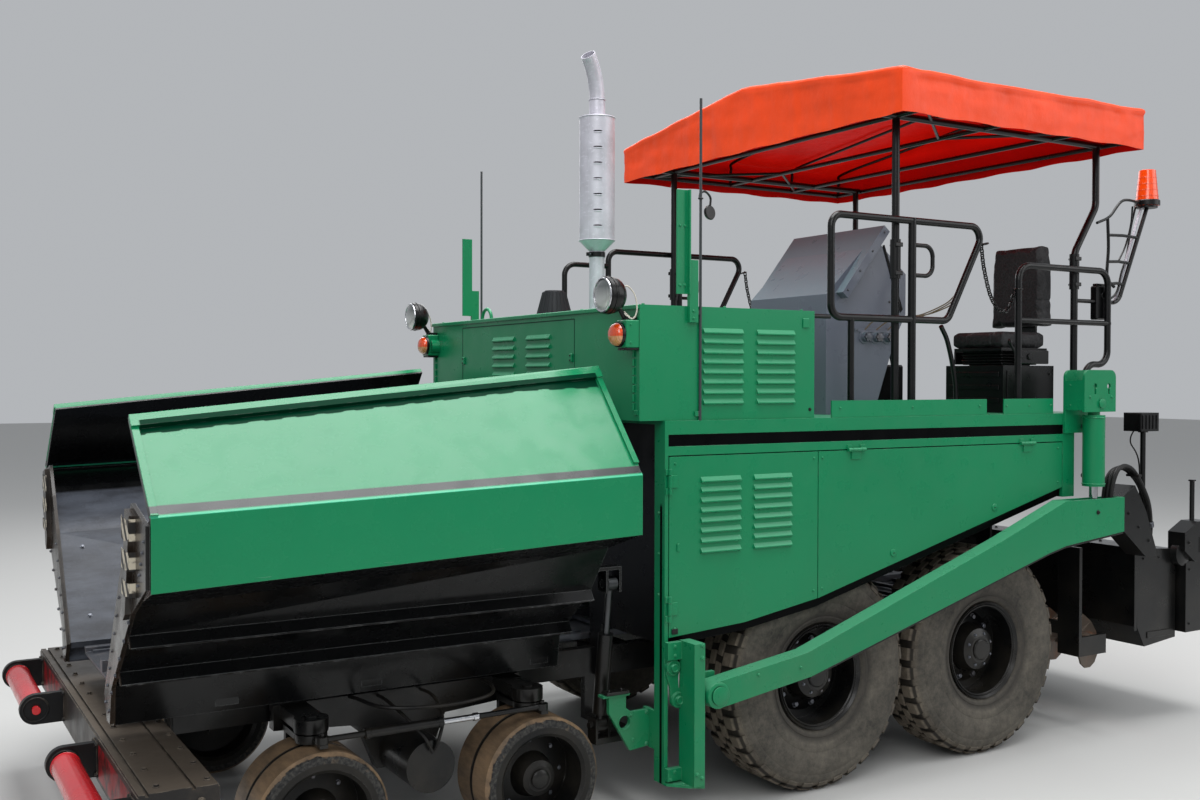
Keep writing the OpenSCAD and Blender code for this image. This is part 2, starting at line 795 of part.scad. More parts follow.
module seat_back() {
    color("#1d1d1f")
        side_plate([
            [seat_x - 262 + seat_gap, 2505], [seat_x - 262 + seat_gap, 3080],
            [seat_x - 180, 3080], [seat_x - 140, 2505]
        ], seat_y - seat_w / 2, seat_y + seat_w / 2);
}

// Tubular rails round the deck
module handrails() {
    z = deck_z + seat_gap;
    color("#15161a") {
        both_sides() {
            tube([[-680, rail_y, 3095], [-1270, rail_y, 3095], [-960, rail_y, 2540],
                  [-80, rail_y, 2540], [-80, rail_y, 3095], [-680, rail_y, 3095]], rail_d, 70);
            bar([-680, rail_y, z], [-680, rail_y, 3110], rail_d + 5);
            bar([-225, rail_y, z], [-225, rail_y, 2540], rail_d - 4);
            tube([[-1560, rail_y, z], [-1560, rail_y, 2890], [-2390, rail_y, 2890],
                  [-2390, rail_y, 2300], [-2170, rail_y, 2300], [-2170, rail_y, z]], rail_d, 90);
            bar([-1560, rail_y, 2560], [-2390, rail_y, 2560], rail_d - 6);
        }
        both_sides()
            tube([[-690, rail_y, 2960], [-840, rail_y, 2960], [-840, rail_y, 2790], [-690, rail_y, 2790]], 24, 60);
        right_side()
            tube([[-80, rail_y, 2990], [270, rail_y, 2990], [270, rail_y, hood_top_z + seat_gap]], rail_d - 3, 80);
        kick_plates();
    }
}

module kick_plates() {
    z = deck_z + seat_gap;
    both_sides() {
        block([-1185, body_half_w - 12, z], [-5, body_half_w - 4, z + kick_h]);
        block([-1760, body_half_w - 12, z], [-1330, body_half_w - 4, z + kick_h]);
    }
}

// Posts, eaves and cross tubes that carry the canopy, with the beacon's stalk
module canopy_frame() {
    z = deck_z + seat_gap;
    top_z = eave_z + 60;
    side_in = cover_t + 17 + seat_gap;
    end_in = cover_t + 15 + seat_gap;
    color("#15161a") {
        both_sides() {
            bar([front_post_x, post_y, z], [front_post_x, post_y, top_z], post_d);
            tube([[rear_post_x + 200, post_y, z], [rear_post_x + 200, post_y, 3000],
                  [rear_post_x, post_y, 3300], [rear_post_x, post_y, top_z]], post_d, 120);
            for (x = [front_post_x, rear_post_x + 200])
                bar([x, post_y, 2770], [x, post_y, 2990], post_sleeve_d);
            bar([canopy_front_x - 40, post_y, top_z], [canopy_rear_x + 40, post_y, top_z], 40);
            bar([canopy_front_x - end_in, canopy_half_w - side_in, top_z],
                [canopy_rear_x + end_in, canopy_half_w - side_in, top_z], 34);
        }
        for (x = [canopy_front_x - end_in, front_post_x, canopy_front_x - 950, canopy_rear_x + 515,
                  canopy_rear_x + end_in])
            bar([x, -canopy_half_w + side_in, top_z], [x, canopy_half_w - side_in, top_z], 30);
    }
    color("#d8d9db")
        union() {
            tube([[rear_post_x + 200, post_y, 2700], [rear_post_x - 230, post_y, 2700],
                  [rear_post_x - 520, post_y, 3338]], 26, 90);
            translate([rear_post_x - 520, post_y, 3330]) cylinder(d = 130, h = 15 - seat_gap);
        }
}

// Cloth cover: one closed solid of the outer shape, open below
module canopy_cover() {
    rise = eave_z + valance_h;
    t = cover_t;
    outer = [[-canopy_half_w, eave_z], [-canopy_half_w, rise], [0, rise + ridge_rise],
             [canopy_half_w, rise], [canopy_half_w, eave_z]];
    inner = [[-canopy_half_w + t, eave_z - 1], [-canopy_half_w + t, rise - t], [0, rise + ridge_rise - t],
             [canopy_half_w - t, rise - t], [canopy_half_w - t, eave_z - 1]];
    color("#ff4d12")
        difference() {
            cross_section(outer, canopy_rear_x, canopy_front_x);
            cross_section(inner, canopy_rear_x + t, canopy_front_x - t);
        }
}

// Tow-point slides, pivot plates, lifting brackets of the arms and the front eye brackets
module side_brackets() {
    color("#1f8a5e")
        both_sides() {
            block([slide_x[0], body_half_w + 10, foot_z + seat_gap], [slide_x[1], arm_y + arm_t - 10, 930]);
            block([arm_pivot_x - 60, body_half_w + 10, arm_pivot_z - 70],
                  [slide_x[0] + 1, body_half_w + 35, arm_pivot_z + 90]);
            for (z = [[foot_z + 10, 310], [840, 925]])
                block([slide_x[1] - 1, body_half_w + seat_gap, z[0]], [body_front_x, body_half_w + 32, z[1]]);
            slide_link();
            bar_y(arm_pivot_x, arm_pivot_z, arm_pin_d, body_half_w + 20, arm_y + arm_t + 12);
            lift_bracket();
            front_eye_bracket();
        }
}

// Curved link between two bosses, beside the slide
module slide_link() {
    bosses = [[1022, 800], [992, 640]];
    y = body_half_w + seat_gap;
    side_plate([
        [1056, 850], [1010, 850], [978, 815], [988, 745], [986, 700], [958, 660], [956, 620], [1004, 604],
        [1030, 640], [1034, 700], [1058, 770]
    ], y, y + 14);
    for (boss = bosses) {
        bar_y(boss[0], boss[1], 78, y, y + 24);
        bar_y(boss[0], boss[1], 40, y + 23, y + 38);
    }
}

// Twin plates with rounded tops and keyhole slots that hold the top pin of a lift cylinder
module lift_bracket() {
    front_x = lift_top[0] + 155;
    rear_x = lift_top[0] - 135;
    top_z = lift_top[1] + 202;
    y_out = lift_y + 36;
    difference() {
        union() {
            lift_plate(front_x, rear_x, deck_z - 120, top_z, body_half_w + seat_gap, body_half_w + 16);
            lift_plate(front_x, rear_x, deck_z + 10, top_z, y_out, y_out + 16);
            block([front_x - 16, body_half_w + 15, deck_z + 20], [front_x, y_out + 1, deck_z + 200]);
        }
        for (x = [lift_top[0] + 56, lift_top[0] - 71])
            keyhole(x, lift_top[1] + 105);
    }
    bar_y(lift_top[0], lift_top[1], 40, body_half_w + 10, lift_y + 60);
}

module lift_plate(front_x, rear_x, low_z, top_z, y0, y1) {
    corner = 45;
    side_plate(concat(
        [[rear_x, low_z], [front_x, low_z]],
        [for (a = [0 : 15 : 90]) [front_x - corner + corner * cos(a), top_z - corner + corner * sin(a)]],
        [for (a = [90 : 15 : 180]) [rear_x + corner + corner * cos(a), top_z - corner + corner * sin(a)]]
    ), y0, y1);
}

// Round hole with a narrow slot below it
module keyhole(x, z) {
    bar_y(x, z, 34, body_half_w - 1, lift_y + 60);
    block([x - 8, body_half_w - 1, z - 48], [x + 8, lift_y + 60, z]);
}

// Flat bracket with a large eye ahead of the front corner post
module front_eye_bracket() {
    y = body_half_w - 160;
    low_x = body_front_x + seat_gap;
    difference() {
        side_plate([[low_x, 388], [low_x, 568], [low_x + 102, 568], [low_x + 134, 592], [low_x + 134, 656],
                    [low_x + 231, 656], [low_x + 231, 576], [low_x + 110, 378]], y, y + 24);
        bar_y(front_eye[0], front_eye[1], 64, y - 1, y + 25);
    }
    block([low_x + 120, y - 16, 655], [low_x + 270, y + 36, 667]);
}

// Hopper wing: thin upper sheet, straight side and a boxed lower wall with two ribs on its skin
function wing_outline(rim_z, fold_z, low_z) = [
    [rim_y, rim_z], [wing_half_w, fold_z], [wing_half_w, low_z], [1200, low_z - 95],
    [1040, 1175], [1072, 1128], [1020, 1150], [820, 985], [858, 935], [800, 968],
    [730, 905], [700, 735], [630, 740], [572, 850],
    [960, low_z - 40], [1240, fold_z - 95], [wing_half_w - 30, fold_z - 12], [rim_y - wing_t, rim_z - 14]
];

// Bar of constant section that lies on the slanted upper sheet, a distance down from the rim
function sheet_strip(rim_z, fold_z, from, to, height) =
    let (along = unit([wing_half_w - rim_y, fold_z - rim_z]), out = [-along[1], along[0]], rim = [rim_y, rim_z])
        [rim + along * from - out, rim + along * from + out * height,
         rim + along * to + out * height, rim + along * to - out];

// Convex patches, as corner numbers of wing_outline, that fill its section
wing_patches = [
    [0, 1, 16, 17], [1, 2, 16], [2, 15, 16], [2, 3, 14, 15], [3, 4, 14], [4, 5, 6],
    [4, 6, 14], [6, 7, 13, 14], [7, 8, 9], [7, 9, 13], [9, 10, 13], [10, 11, 12, 13]
];

module loft_x(points_a, xa, points_b, xb, patches = [[0, 1, 2, 3]]) {
    n = len(points_a);
    all_points = concat([for (p = points_a) [xa, p[0], p[1]]], [for (p = points_b) [xb, p[0], p[1]]]);
    sides = [for (i = [0 : n - 1]) let (j = (i + 1) % n) each [[i, j, n + j], [i, n + j, n + i]]];
    near_end = [for (f = patches) [for (i = [len(f) - 1 : -1 : 0]) f[i]]];
    far_end = [for (f = patches) [for (i = f) n + i]];
    polyhedron(all_points, concat(near_end, sides, far_end));
}

module wing() {
    color("#1f8a5e") {
        difference() {
            loft_x(wing_outline(wing_rear_z[0], wing_rear_z[1], wing_rear_z[2]), wing_rear_x,
                   wing_outline(wing_front_z[0], wing_front_z[1], wing_front_z[2]), wing_front_x,
                   wing_patches);
            bar_x(wing_hinge_y, wing_hinge_z, 76, wing_rear_x - 10, wing_front_x + 10);
        }
        for (x = wing_hinge_x)
            difference() {
                union() {
                    bar_x(wing_hinge_y, wing_hinge_z, 56, x, x + 100);
                    block([x, wing_hinge_y, wing_hinge_z - 20], [x + 100, wing_hinge_y + 110, wing_hinge_z + 20]);
                }
                bar_x(wing_hinge_y, wing_hinge_z, wing_pin_d + 2 * fit, x - 1, x + 101);
            }
        wing_trim();
        wing_end_plate();
        wing_eye_bracket();
    }
}

// Flange along the rim and the borders at both ends of the upper sheet
module wing_trim() {
    slope_l = norm([wing_half_w - rim_y, wing_front_z[1] - wing_front_z[0]]);
    loft_x(sheet_strip(wing_rear_z[0], wing_rear_z[1], 4, 70, 22), wing_rear_x - 4,
           sheet_strip(wing_front_z[0], wing_front_z[1], 4, 70, 22), wing_front_x + 4);
    loft_x(sheet_strip(wing_front_z[0], wing_front_z[1], 60, slope_l - 4, 12), wing_front_x - 26,
           sheet_strip(wing_front_z[0], wing_front_z[1], 60, slope_l - 4, 12), wing_front_x + 2);
    loft_x(sheet_strip(wing_rear_z[0], wing_rear_z[1], 60, slope_l + 30, 12), wing_rear_x - 2,
           sheet_strip(wing_rear_z[0], wing_rear_z[1], 60, slope_l + 30, 12), wing_rear_x + 26);
}

// Thick plate that closes the boxed wall at its front end and stands out past the sheet
module wing_end_plate() {
    cross_section([
        [wing_half_w - 22, wing_front_z[1] - 30], [wing_half_w - 22, wing_front_z[2] + 12], [1195, 1290],
        [745, 905], [700, 742], [632, 742], [565, 845], [940, 1392], [1200, 1720], [1290, 1700]
    ], wing_front_x - 1, wing_front_x + 16);
    cross_section([
        [1200, 1700], [1290, 1680], [1195, 1290], [1155, 1262], [1130, 1330]
    ], wing_front_x + 15, wing_front_x + 40);
}

// Two ears over the rod's eye, under a stay from the wing's rear edge
module wing_eye_bracket() {
    y = wing_eye[0];
    z = wing_eye[1];
    block([wing_cyl_x - 44, y - 40, z + 70], [wing_rear_x + 1, y + 40, z + 86]);
    block([wing_rear_x - 12, y - 60, z + 70], [wing_rear_x + 1, y + 50, z + 150]);
    for (x = [wing_cyl_x - 44, wing_cyl_x + 32])
        difference() {
            block([x, y - 40, z - 40], [x + 12, y + 40, z + 71]);
            bar_x(y, z, 40, x - 1, x + 13);
        }
}

// Cylinder of a hopper wing, drawn between its two pins
module wing_barrel() {
    dir = unit([0, wing_eye[0] - wing_base[0], wing_eye[1] - wing_base[1]]);
    base = [wing_cyl_x, wing_base[0], wing_base[1]];
    color("#17181b")
        difference() {
            union() {
                bar(base, base + dir * 64, 44);
                bar(base + dir * 60, base + dir * 470, wing_cyl_d);
                bar_x(wing_base[0], wing_base[1], 80, wing_cyl_x - 28, wing_cyl_x + 28);
            }
            bar_x(wing_base[0], wing_base[1], 36 + 2 * fit, wing_cyl_x - 40, wing_cyl_x + 40);
            bar(base + dir * 80, base + dir * 480, wing_rod_d + 2 * fit);
        }
}

module wing_rod() {
    dir = unit([0, wing_eye[0] - wing_base[0], wing_eye[1] - wing_base[1]]);
    base = [wing_cyl_x, wing_base[0], wing_base[1]];
    length = norm([wing_eye[0] - wing_base[0], wing_eye[1] - wing_base[1]]);
    color("#c9ccd0")
        union() {
            bar(base + dir * 82, base + dir * (length - 10), wing_rod_d);
            bar_x(wing_eye[0], wing_eye[1], 74, wing_cyl_x - 26, wing_cyl_x + 26);
        }
}

// Dog-legged arms that tow and lift the screed
module tow_arms() {
    color("#1f8a5e")
        both_sides()
            difference() {
                union() {
                    side_plate([
                        [arm_pivot_x, arm_pivot_z + 65], [282, 815], [-1163, 1293], [-1694, 1486],
                        [-2230, 1486], [-2230, 1275], [-1697, 1222], [-1550, 1190], [258, 690],
                        [arm_pivot_x, arm_pivot_z - 65]
                    ], arm_y, arm_y + arm_t);
                    bar_y(arm_pivot_x, arm_pivot_z, 130, arm_y, arm_y + arm_t);
                }
                bar_y(arm_pivot_x, arm_pivot_z, arm_pin_d + 2 * fit, arm_y - 1, arm_y + arm_t + 1);
                block([-2210, arm_y + 10, 1290], [-1760, arm_y + arm_t - 10, 1500]);
            }
}

// Screed: main box, rear extension boxes, end gears, cranks and walkway
module screed() {
    color("#16171a") {
        side_plate([
            [screed_front_x, 1141], [screed_front_x - 20, 641], [screed_front_x - 94, 510],
            [screed_front_x - 410, 540], [screed_front_x - 410, 1112]
        ], -screed_half_w, screed_half_w);
        block([screed_rear_x + 120, -screed_half_w - 60, 575], [screed_front_x - 430, screed_half_w + 60, 1034]);
        block([screed_front_x - 431, -screed_half_w + 200, 700], [screed_front_x - 409, screed_half_w - 200, 900]);
        block([screed_rear_x, -screed_half_w, 640], [screed_rear_x + 121, screed_half_w, 665]);
        both_sides() {
            side_plate([[-2230 - seat_gap, 1480], [-2360, 1550], [-2470, 1386], [-2570, 1150],
                        [-2570, 1100], [-2470, 1100], [-2230 - seat_gap, 1290]],
                       screed_half_w - 60, arm_y + arm_t - 20);
            side_plate([[-2855, 1110], [-2855, 1225], [-2990, 1290], [-3120, 1290],
                        [-3150, 1250], [-3150, 1033], [-2960, 1033]], screed_half_w - 30, screed_half_w + 90);
            translate([-3015, screed_half_w + 30, 1289]) cylinder(d = 30, h = 260);
        }
    }
}

// Lift cylinder, hung from its top pin
module lift_barrel() {
    color("#1f8a5e")
        difference() {
            union() {
                translate([lift_top[0], lift_y, lift_top[1] - 500]) cylinder(d = lift_d, h = 430);
                translate([lift_top[0], lift_y, lift_top[1] - 71]) cylinder(d = 70, h = 45);
                bar_y(lift_top[0], lift_top[1], 90, lift_y - 26, lift_y + 26);
            }
            bar_y(lift_top[0], lift_top[1], 40 + 2 * fit, lift_y - 40, lift_y + 40);
            translate([lift_top[0], lift_y, lift_top[1] - 510])
                cylinder(d = lift_rod_d + 2 * fit, h = 425);
        }
}

module lift_rod() {
    color("#c9ccd0")
        union() {
            translate([lift_eye[0], lift_y, lift_eye[1]])
                cylinder(d = lift_rod_d, h = lift_top[1] - 90 - lift_eye[1]);
            bar_y(lift_eye[0], lift_eye[1], 84, lift_y - 24, lift_y + 24);
            bar_y(lift_eye[0], lift_eye[1], 40, lift_y - 34, lift_y + 34);
        }
}

// Auger: a sleeve on the shaft with one helical flight
module auger() {
    y0 = 110;
    length = 1060;
    color("#5a4a3c") {
        difference() {
            union() {
                bar_y(auger_x, auger_z, 100, y0, y0 + length);
                flight(y0 + 12, length - 36);
            }
            bar_y(auger_x, auger_z, 60 + 2 * fit, y0 - 1, y0 + length + 1);
        }
    }
}

// Flight of constant thickness: its section, in radius and Y, is carried round the axis
module flight(y0, length) {
    turn_step = 24;
    rings = floor(length / auger_pitch * 360 / turn_step);
    section = [[40, 0], [auger_d / 2, 0], [auger_d / 2, 12], [40, 12]];
    points = [for (i = [0 : rings]) for (p = section)
        [auger_x + p[0] * cos(i * turn_step), y0 + i * auger_pitch * turn_step / 360 + p[1],
         auger_z + p[0] * sin(i * turn_step)]];
    sides = [for (i = [0 : rings - 1]) for (j = [0 : 3])
        let (a = 4 * i + j, b = 4 * i + (j + 1) % 4)
            each [[b, a, a + 4], [b, a + 4, b + 4]]];
    last = 4 * rings;
    polyhedron(points, concat([[0, 1, 2, 3]], sides, [[last + 3, last + 2, last + 1, last]]));
}

// Rear tyre, turned about its axle
module tyre(x) {
    half = tyre_w / 2;
    r = tyre_d / 2;
    color("#3b3530")
        translate([x, tyre_y, rear_axle_z]) rotate([90, 0, 0]) rotate_extrude($fn = 96)
            polygon([
                [rim_d / 2 - 12, -half + 60], [rim_d / 2 + 30, -half + 14], [r - 130, -half],
                [r - 50, -half + 14], [r, -half + 40], [r, half - 40], [r - 50, half - 14],
                [r - 130, half], [rim_d / 2 + 30, half - 14], [rim_d / 2 - 12, half - 60]
            ]);
}

// Dished steel rim with its hub
module rim(x) {
    half = tyre_w / 2;
    r = rim_d / 2 - 12 - seat_gap;
    color("#101113")
        translate([x, tyre_y, rear_axle_z]) rotate([-90, 0, 0]) rotate_extrude($fn = 96)
            polygon([
                [45 + fit, -60], [120, -60], [120, -20], [r - 60, -50], [r - 14, -50],
                [r - 14, -half + 40], [r, -half + 40], [r, half - 62], [r + 12, half - 34],
                [r + 8, half - 26], [r - 16, half - 50], [r - 16, -20], [r - 60, -20],
                [150, 20], [120, 96], [78, 116], [0, 116], [0, 84], [45 + fit, 84]
            ]);
}

// Fork above and inside a front wheel, turning on its kingpin
module knuckle(x) {
    inner_y = front_wheel_y - front_wheel_w / 2;
    color("#141518") {
        translate([x, front_wheel_y, knuckle_z]) cylinder(d = 60, h = 112);
        translate([x, front_wheel_y, knuckle_z]) cylinder(d = 140, h = 36);
        block([x - 60, inner_y - 50, knuckle_z], [x + 60, front_wheel_y, knuckle_z + 28]);
        block([x - 55, inner_y - 50, front_axle_z - 60], [x + 55, inner_y - 20, knuckle_z + 10]);
        bar_y(x, front_axle_z, 64, inner_y - 30, front_wheel_y + 97);
        block([x - 18, front_wheel_y, steer_arm_z],
              [x + 18, front_wheel_y + steer_arm_l + 28, steer_arm_z + 16]);
        translate([x, front_wheel_y + steer_arm_l, steer_arm_z]) cylinder(d = steer_pin_d, h = 60);
    }
}

// Solid front wheel: two rubber rings with a groove between, on a dished hub
module front_wheel(x) {
    half = front_wheel_w / 2;
    r = front_wheel_d / 2;
    color("#6e5d49")
        translate([x, front_wheel_y, front_axle_z]) rotate([-90, 0, 0]) rotate_extrude($fn = 96)
            polygon([
                [32 + fit, -40], [70, -40], [100, -10], [210, -30], [210, -half + 14], [226, -half],
                [r - 18, -half], [r, -half + 22], [r, -9], [r - 26, -5], [r - 26, 5], [r, 9],
                [r, half - 22], [r - 18, half], [226, half], [210, half - 14], [210, 10],
                [110, 34], [84, 118], [60, 130], [0, 130], [0, 100], [32 + fit, 100]
            ]);
}

// Rod that joins the steering arms of one side
module tie_rod() {
    y = front_wheel_y + steer_arm_l;
    z = steer_arm_z + 16 + seat_gap + 15;
    color("#2a2b2e") {
        for (x = [front_axle_x, front_axle_x + front_pitch])
            difference() {
                translate([x, y, z - 15]) cylinder(d = 56, h = 30);
                translate([x, y, z - 20]) cylinder(d = steer_pin_d + 12, h = 50);
            }
        bar_x(y, z, 26, front_axle_x + 22, front_axle_x + front_pitch - 22);
    }
}

place() chassis_frame();
place() axle_beams();
place() push_beam();
place() conveyor_floor();
place() slat_conveyors();
place() body_shell();
place() hood();
place() engine_block();
place() exhaust();
place() air_cleaner();
place() headlamps();
place() amber_lamps();
place() guide_posts();
place() console();
place() seat_base();
place() seat_cushion();
place() seat_back();
place() handrails();
place() canopy_frame();
place() canopy_cover();
place() side_brackets();
place() door_front();  // door_left_front
place() door_rear();  // door_left_rear
place() right_side() door_front();  // door_right_front
place() right_side() door_rear();  // door_right_rear
place() wing();  // wing_left
place() right_side() wing();  // wing_right
place() wing_barrel();  // wing_barrel_left
place() right_side() wing_barrel();  // wing_barrel_right
place() wing_rod();  // wing_rod_left
place() right_side() wing_rod();  // wing_rod_right
place() tow_arms();
place() screed();
place() work_lamps();
place() lift_barrel();  // lift_barrel_left
place() right_side() lift_barrel();  // lift_barrel_right
place() lift_rod();  // lift_rod_left
place() right_side() lift_rod();  // lift_rod_right
place() auger();  // auger_left
place() right_side() auger();  // auger_right
place() push_roller();  // push_roller_left
place() right_side() push_roller();  // push_roller_right
place() tyre(0);  // tyre_left_1
place() tyre(-tandem_pitch);  // tyre_left_2
place() right_side() tyre(0);  // tyre_right_1
place() right_side() tyre(-tandem_pitch);  // tyre_right_2
place() rim(0);  // rim_left_1
place() rim(-tandem_pitch);  // rim_left_2
place() right_side() rim(0);  // rim_right_1
place() right_side() rim(-tandem_pitch);  // rim_right_2
place() knuckle(front_axle_x + front_pitch);  // knuckle_left_1
place() knuckle(front_axle_x);  // knuckle_left_2
place() right_side() knuckle(front_axle_x + front_pitch);  // knuckle_right_1
place() right_side() knuckle(front_axle_x);  // knuckle_right_2
place() front_wheel(front_axle_x + front_pitch);  // front_wheel_left_1
place() front_wheel(front_axle_x);  // front_wheel_left_2
place() right_side() front_wheel(front_axle_x + front_pitch);  // front_wheel_right_1
place() right_side() front_wheel(front_axle_x);  // front_wheel_right_2
place() tie_rod();  // tie_rod_left
place() right_side() tie_rod();  // tie_rod_right
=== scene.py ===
"""Dresses the wheeled paver: materials, trim, cloth, seat pads, camera and light."""
import itertools
import json
import math
import random

import bmesh
import bpy
from mathutils import Matrix, Vector, noise


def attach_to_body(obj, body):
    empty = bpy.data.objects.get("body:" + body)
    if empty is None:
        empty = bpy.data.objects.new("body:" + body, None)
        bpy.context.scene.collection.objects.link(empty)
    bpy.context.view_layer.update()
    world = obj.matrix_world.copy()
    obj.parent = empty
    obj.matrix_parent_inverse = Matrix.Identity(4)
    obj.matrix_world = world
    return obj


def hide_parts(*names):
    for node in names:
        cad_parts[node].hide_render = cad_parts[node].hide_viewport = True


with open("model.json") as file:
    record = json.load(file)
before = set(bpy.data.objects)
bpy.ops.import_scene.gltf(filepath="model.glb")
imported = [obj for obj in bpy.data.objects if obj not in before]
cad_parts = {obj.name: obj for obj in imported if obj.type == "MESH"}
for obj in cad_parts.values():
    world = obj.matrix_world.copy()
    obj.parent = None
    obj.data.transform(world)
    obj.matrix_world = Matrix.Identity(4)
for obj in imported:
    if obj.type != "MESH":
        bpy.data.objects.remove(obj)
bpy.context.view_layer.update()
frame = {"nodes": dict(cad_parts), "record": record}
MID_X = 0.2375                      # work-frame X of the middle of the machine
TO_CAD = Vector((-MID_X, 0, 0))     # from the work frame to the CAD's
SIDES = (("left", 1), ("right", -1))
TAU = 2 * math.pi
X, Y, Z = (Vector(v) for v in ((1, 0, 0), (0, 1, 0), (0, 0, 1)))
GREEN = (12, 125, 80)
BLACK = (9, 10, 11)
BLACK_STEEL = (8, 9, 10)
MATS = {}
REAR_AXLES = (0.0, -1.26)           # from the leading axle back
FRONT_AXLES = (2.71, 1.64)

# The hopper wing, by place along it: (change to its front end, height at its rear end)
WING_REAR, WING_FRONT = 1.35, 3.49
WING_RIM, WING_FOLD, WING_LOW = (-0.21, 2.255), (-0.076, 1.766), (-0.083, 1.493)
RIM_Y, FOLD_Y = 1.08, 1.5


def set_camera():
    eye = Vector((4.39, 6.18, 2.2)) + TO_CAD
    yaw, pitch, roll = (math.radians(a) for a in (31.0, -0.96, 0.1))
    look = Vector((-math.sin(yaw) * math.cos(pitch), -math.cos(yaw) * math.cos(pitch), math.sin(pitch)))
    right = look.cross(Z).normalized()
    up = right.cross(look)
    right, up = math.cos(roll) * right + math.sin(roll) * up, math.cos(roll) * up - math.sin(roll) * right
    data = bpy.data.cameras.new("camera")
    data.sensor_width = 36.0
    data.lens = 1228.0 / 1200.0 * 36.0
    data.clip_start, data.clip_end = 0.05, 200.0
    cam = bpy.data.objects.new("camera", data)
    bpy.context.scene.collection.objects.link(cam)
    cam.matrix_world = Matrix.Translation(eye) @ Matrix((right, up, -look)).transposed().to_4x4()
    bpy.context.scene.camera = cam


# Materials. Masks are written for the work frame; a CAD piece's own coordinates are the CAD frame's.

def srgb(r, g, b):
    def lin(c):
        c /= 255.0
        return c / 12.92 if c <= 0.04045 else ((c + 0.055) / 1.055) ** 2.4
    return (lin(r), lin(g), lin(b), 1.0)


def scaled(colour, k):
    return tuple(min(1.0, c * k) for c in colour[:3]) + (1.0,)


class Graph:
    """A material's node tree, with short calls for the nodes it uses."""

    def __init__(self, name):
        self.mat = MATS[name] = bpy.data.materials.new(name)
        self.mat.use_nodes = True
        self.tree = self.mat.node_tree
        self.shader = self.tree.nodes["Principled BSDF"]
        self.coords = self.node("ShaderNodeTexCoord").outputs["Object"]
        self.parts = None
        self.gloss = None

    def node(self, kind, **props):
        n = self.tree.nodes.new(kind)
        for key, value in props.items():
            setattr(n, key, value)
        return n

    def feed(self, value, socket):
        if hasattr(value, "is_linked"):
            self.tree.links.new(value, socket)
        else:
            socket.default_value = value

    def built(self, kind, output, **inputs):
        """A node's output, with its inputs fed by name."""
        n = self.node(kind)
        for key, value in inputs.items():
            self.feed(value, n.inputs[key.replace("_", " ")])
        return n.outputs[output]

    def finish(self, **inputs):
        for key, value in inputs.items():
            self.feed(value, self.shader.inputs[key.replace("_", " ")])

    def axis(self, letter):
        if self.parts is None:
            self.parts = self.node("ShaderNodeSeparateXYZ")
            self.feed(self.coords, self.parts.inputs[0])
        return self.parts.outputs[letter]

    def across(self):
        """Distance from the machine's middle plane."""
        return self.math("ABSOLUTE", self.axis("Y"))

    def noise(self, scale, detail=4.0, rough=0.55, stretch=None):
        at = self.coords
        if stretch:
            at = self.built("ShaderNodeMapping", "Vector", Scale=stretch, Vector=self.coords)
        return self.built("ShaderNodeTexNoise", "Fac", Scale=scale, Detail=detail, Roughness=rough, Vector=at)

    def bands(self, direction, scale):
        n = self.node("ShaderNodeTexWave", wave_type="BANDS", bands_direction=direction)
        n.inputs["Scale"].default_value = scale
        self.feed(self.coords, n.inputs["Vector"])
        return n.outputs["Fac"]

    def ramp(self, fac, low, high, a=0.0, b=1.0):
        return self.built("ShaderNodeMapRange", "Result", From_Min=low, From_Max=high, To_Min=a, To_Max=b, Value=fac)

    def mix(self, fac, a, b):
        n = self.node("ShaderNodeMix", data_type="RGBA")
        for socket, value in ((n.inputs[0], fac), (n.inputs[6], a), (n.inputs[7], b)):
            self.feed(value, socket)
        return n.outputs[2]

    def math(self, op, *values):
        n = self.node("ShaderNodeMath", operation=op)
        for socket, value in zip(n.inputs, values):
            self.feed(value, socket)
        return n.outputs[0]

    def add(self, a, b):
        return self.math("ADD", a, b)

    def sub(self, a, b):
        return self.math("SUBTRACT", a, b)

    def both(self, *masks):
        out = masks[0]
        for m in masks[1:]:
            out = self.math("MULTIPLY", out, m)
        return out

    def radius(self, x, z):
        return self.math("SQRT", self.add(self.both(x, x), self.both(z, z)))

    def line(self, value, k, add):
        return self.math("MULTIPLY_ADD", value, k, add)

    def within(self, value, low, high, soft=0.001):
        return self.both(self.ramp(value, low - soft, low + soft), self.ramp(value, high - soft, high + soft, 1, 0))

    def along(self, low, high, soft=0.001):
        """1 between two places along the machine."""
        return self.within(self.axis("X"), low - MID_X, high - MID_X, soft)

    def bump(self, height, strength, distance, normal=None):
        inputs = {} if normal is None else {"Normal": normal}
        return self.built("ShaderNodeBump", "Normal", Strength=strength, Distance=distance, Height=height, **inputs)

    def bevel(self, radius):
        n = self.node("ShaderNodeBevel", samples=4)
        n.inputs["Radius"].default_value = radius
        return n.outputs["Normal"]

    def face_normal(self):
        return self.node("ShaderNodeNewGeometry").outputs["Normal"]

    def turn(self, vector, source, target):
        n = self.node("ShaderNodeVectorTransform", vector_type="NORMAL", convert_from=source, convert_to=target)
        self.feed(vector, n.inputs[0])
        return n.outputs[0]

    def facing_up(self, low, high):
        """1 where the surface faces up in the piece's own frame."""
        split = self.node("ShaderNodeSeparateXYZ")
        self.feed(self.turn(self.face_normal(), "WORLD", "OBJECT"), split.inputs[0])
        return self.ramp(split.outputs["Z"], low, high)

    def edges(self, radius, low=0.05, high=0.35):
        """1 on the sharp edges of the mesh, from how far a bevelled normal turns away."""
        dot = self.node("ShaderNodeVectorMath", operation="DOT_PRODUCT")
        self.feed(self.bevel(radius), dot.inputs[0])
        self.feed(self.face_normal(), dot.inputs[1])
        return self.ramp(self.sub(1.0, dot.outputs["Value"]), low, high)


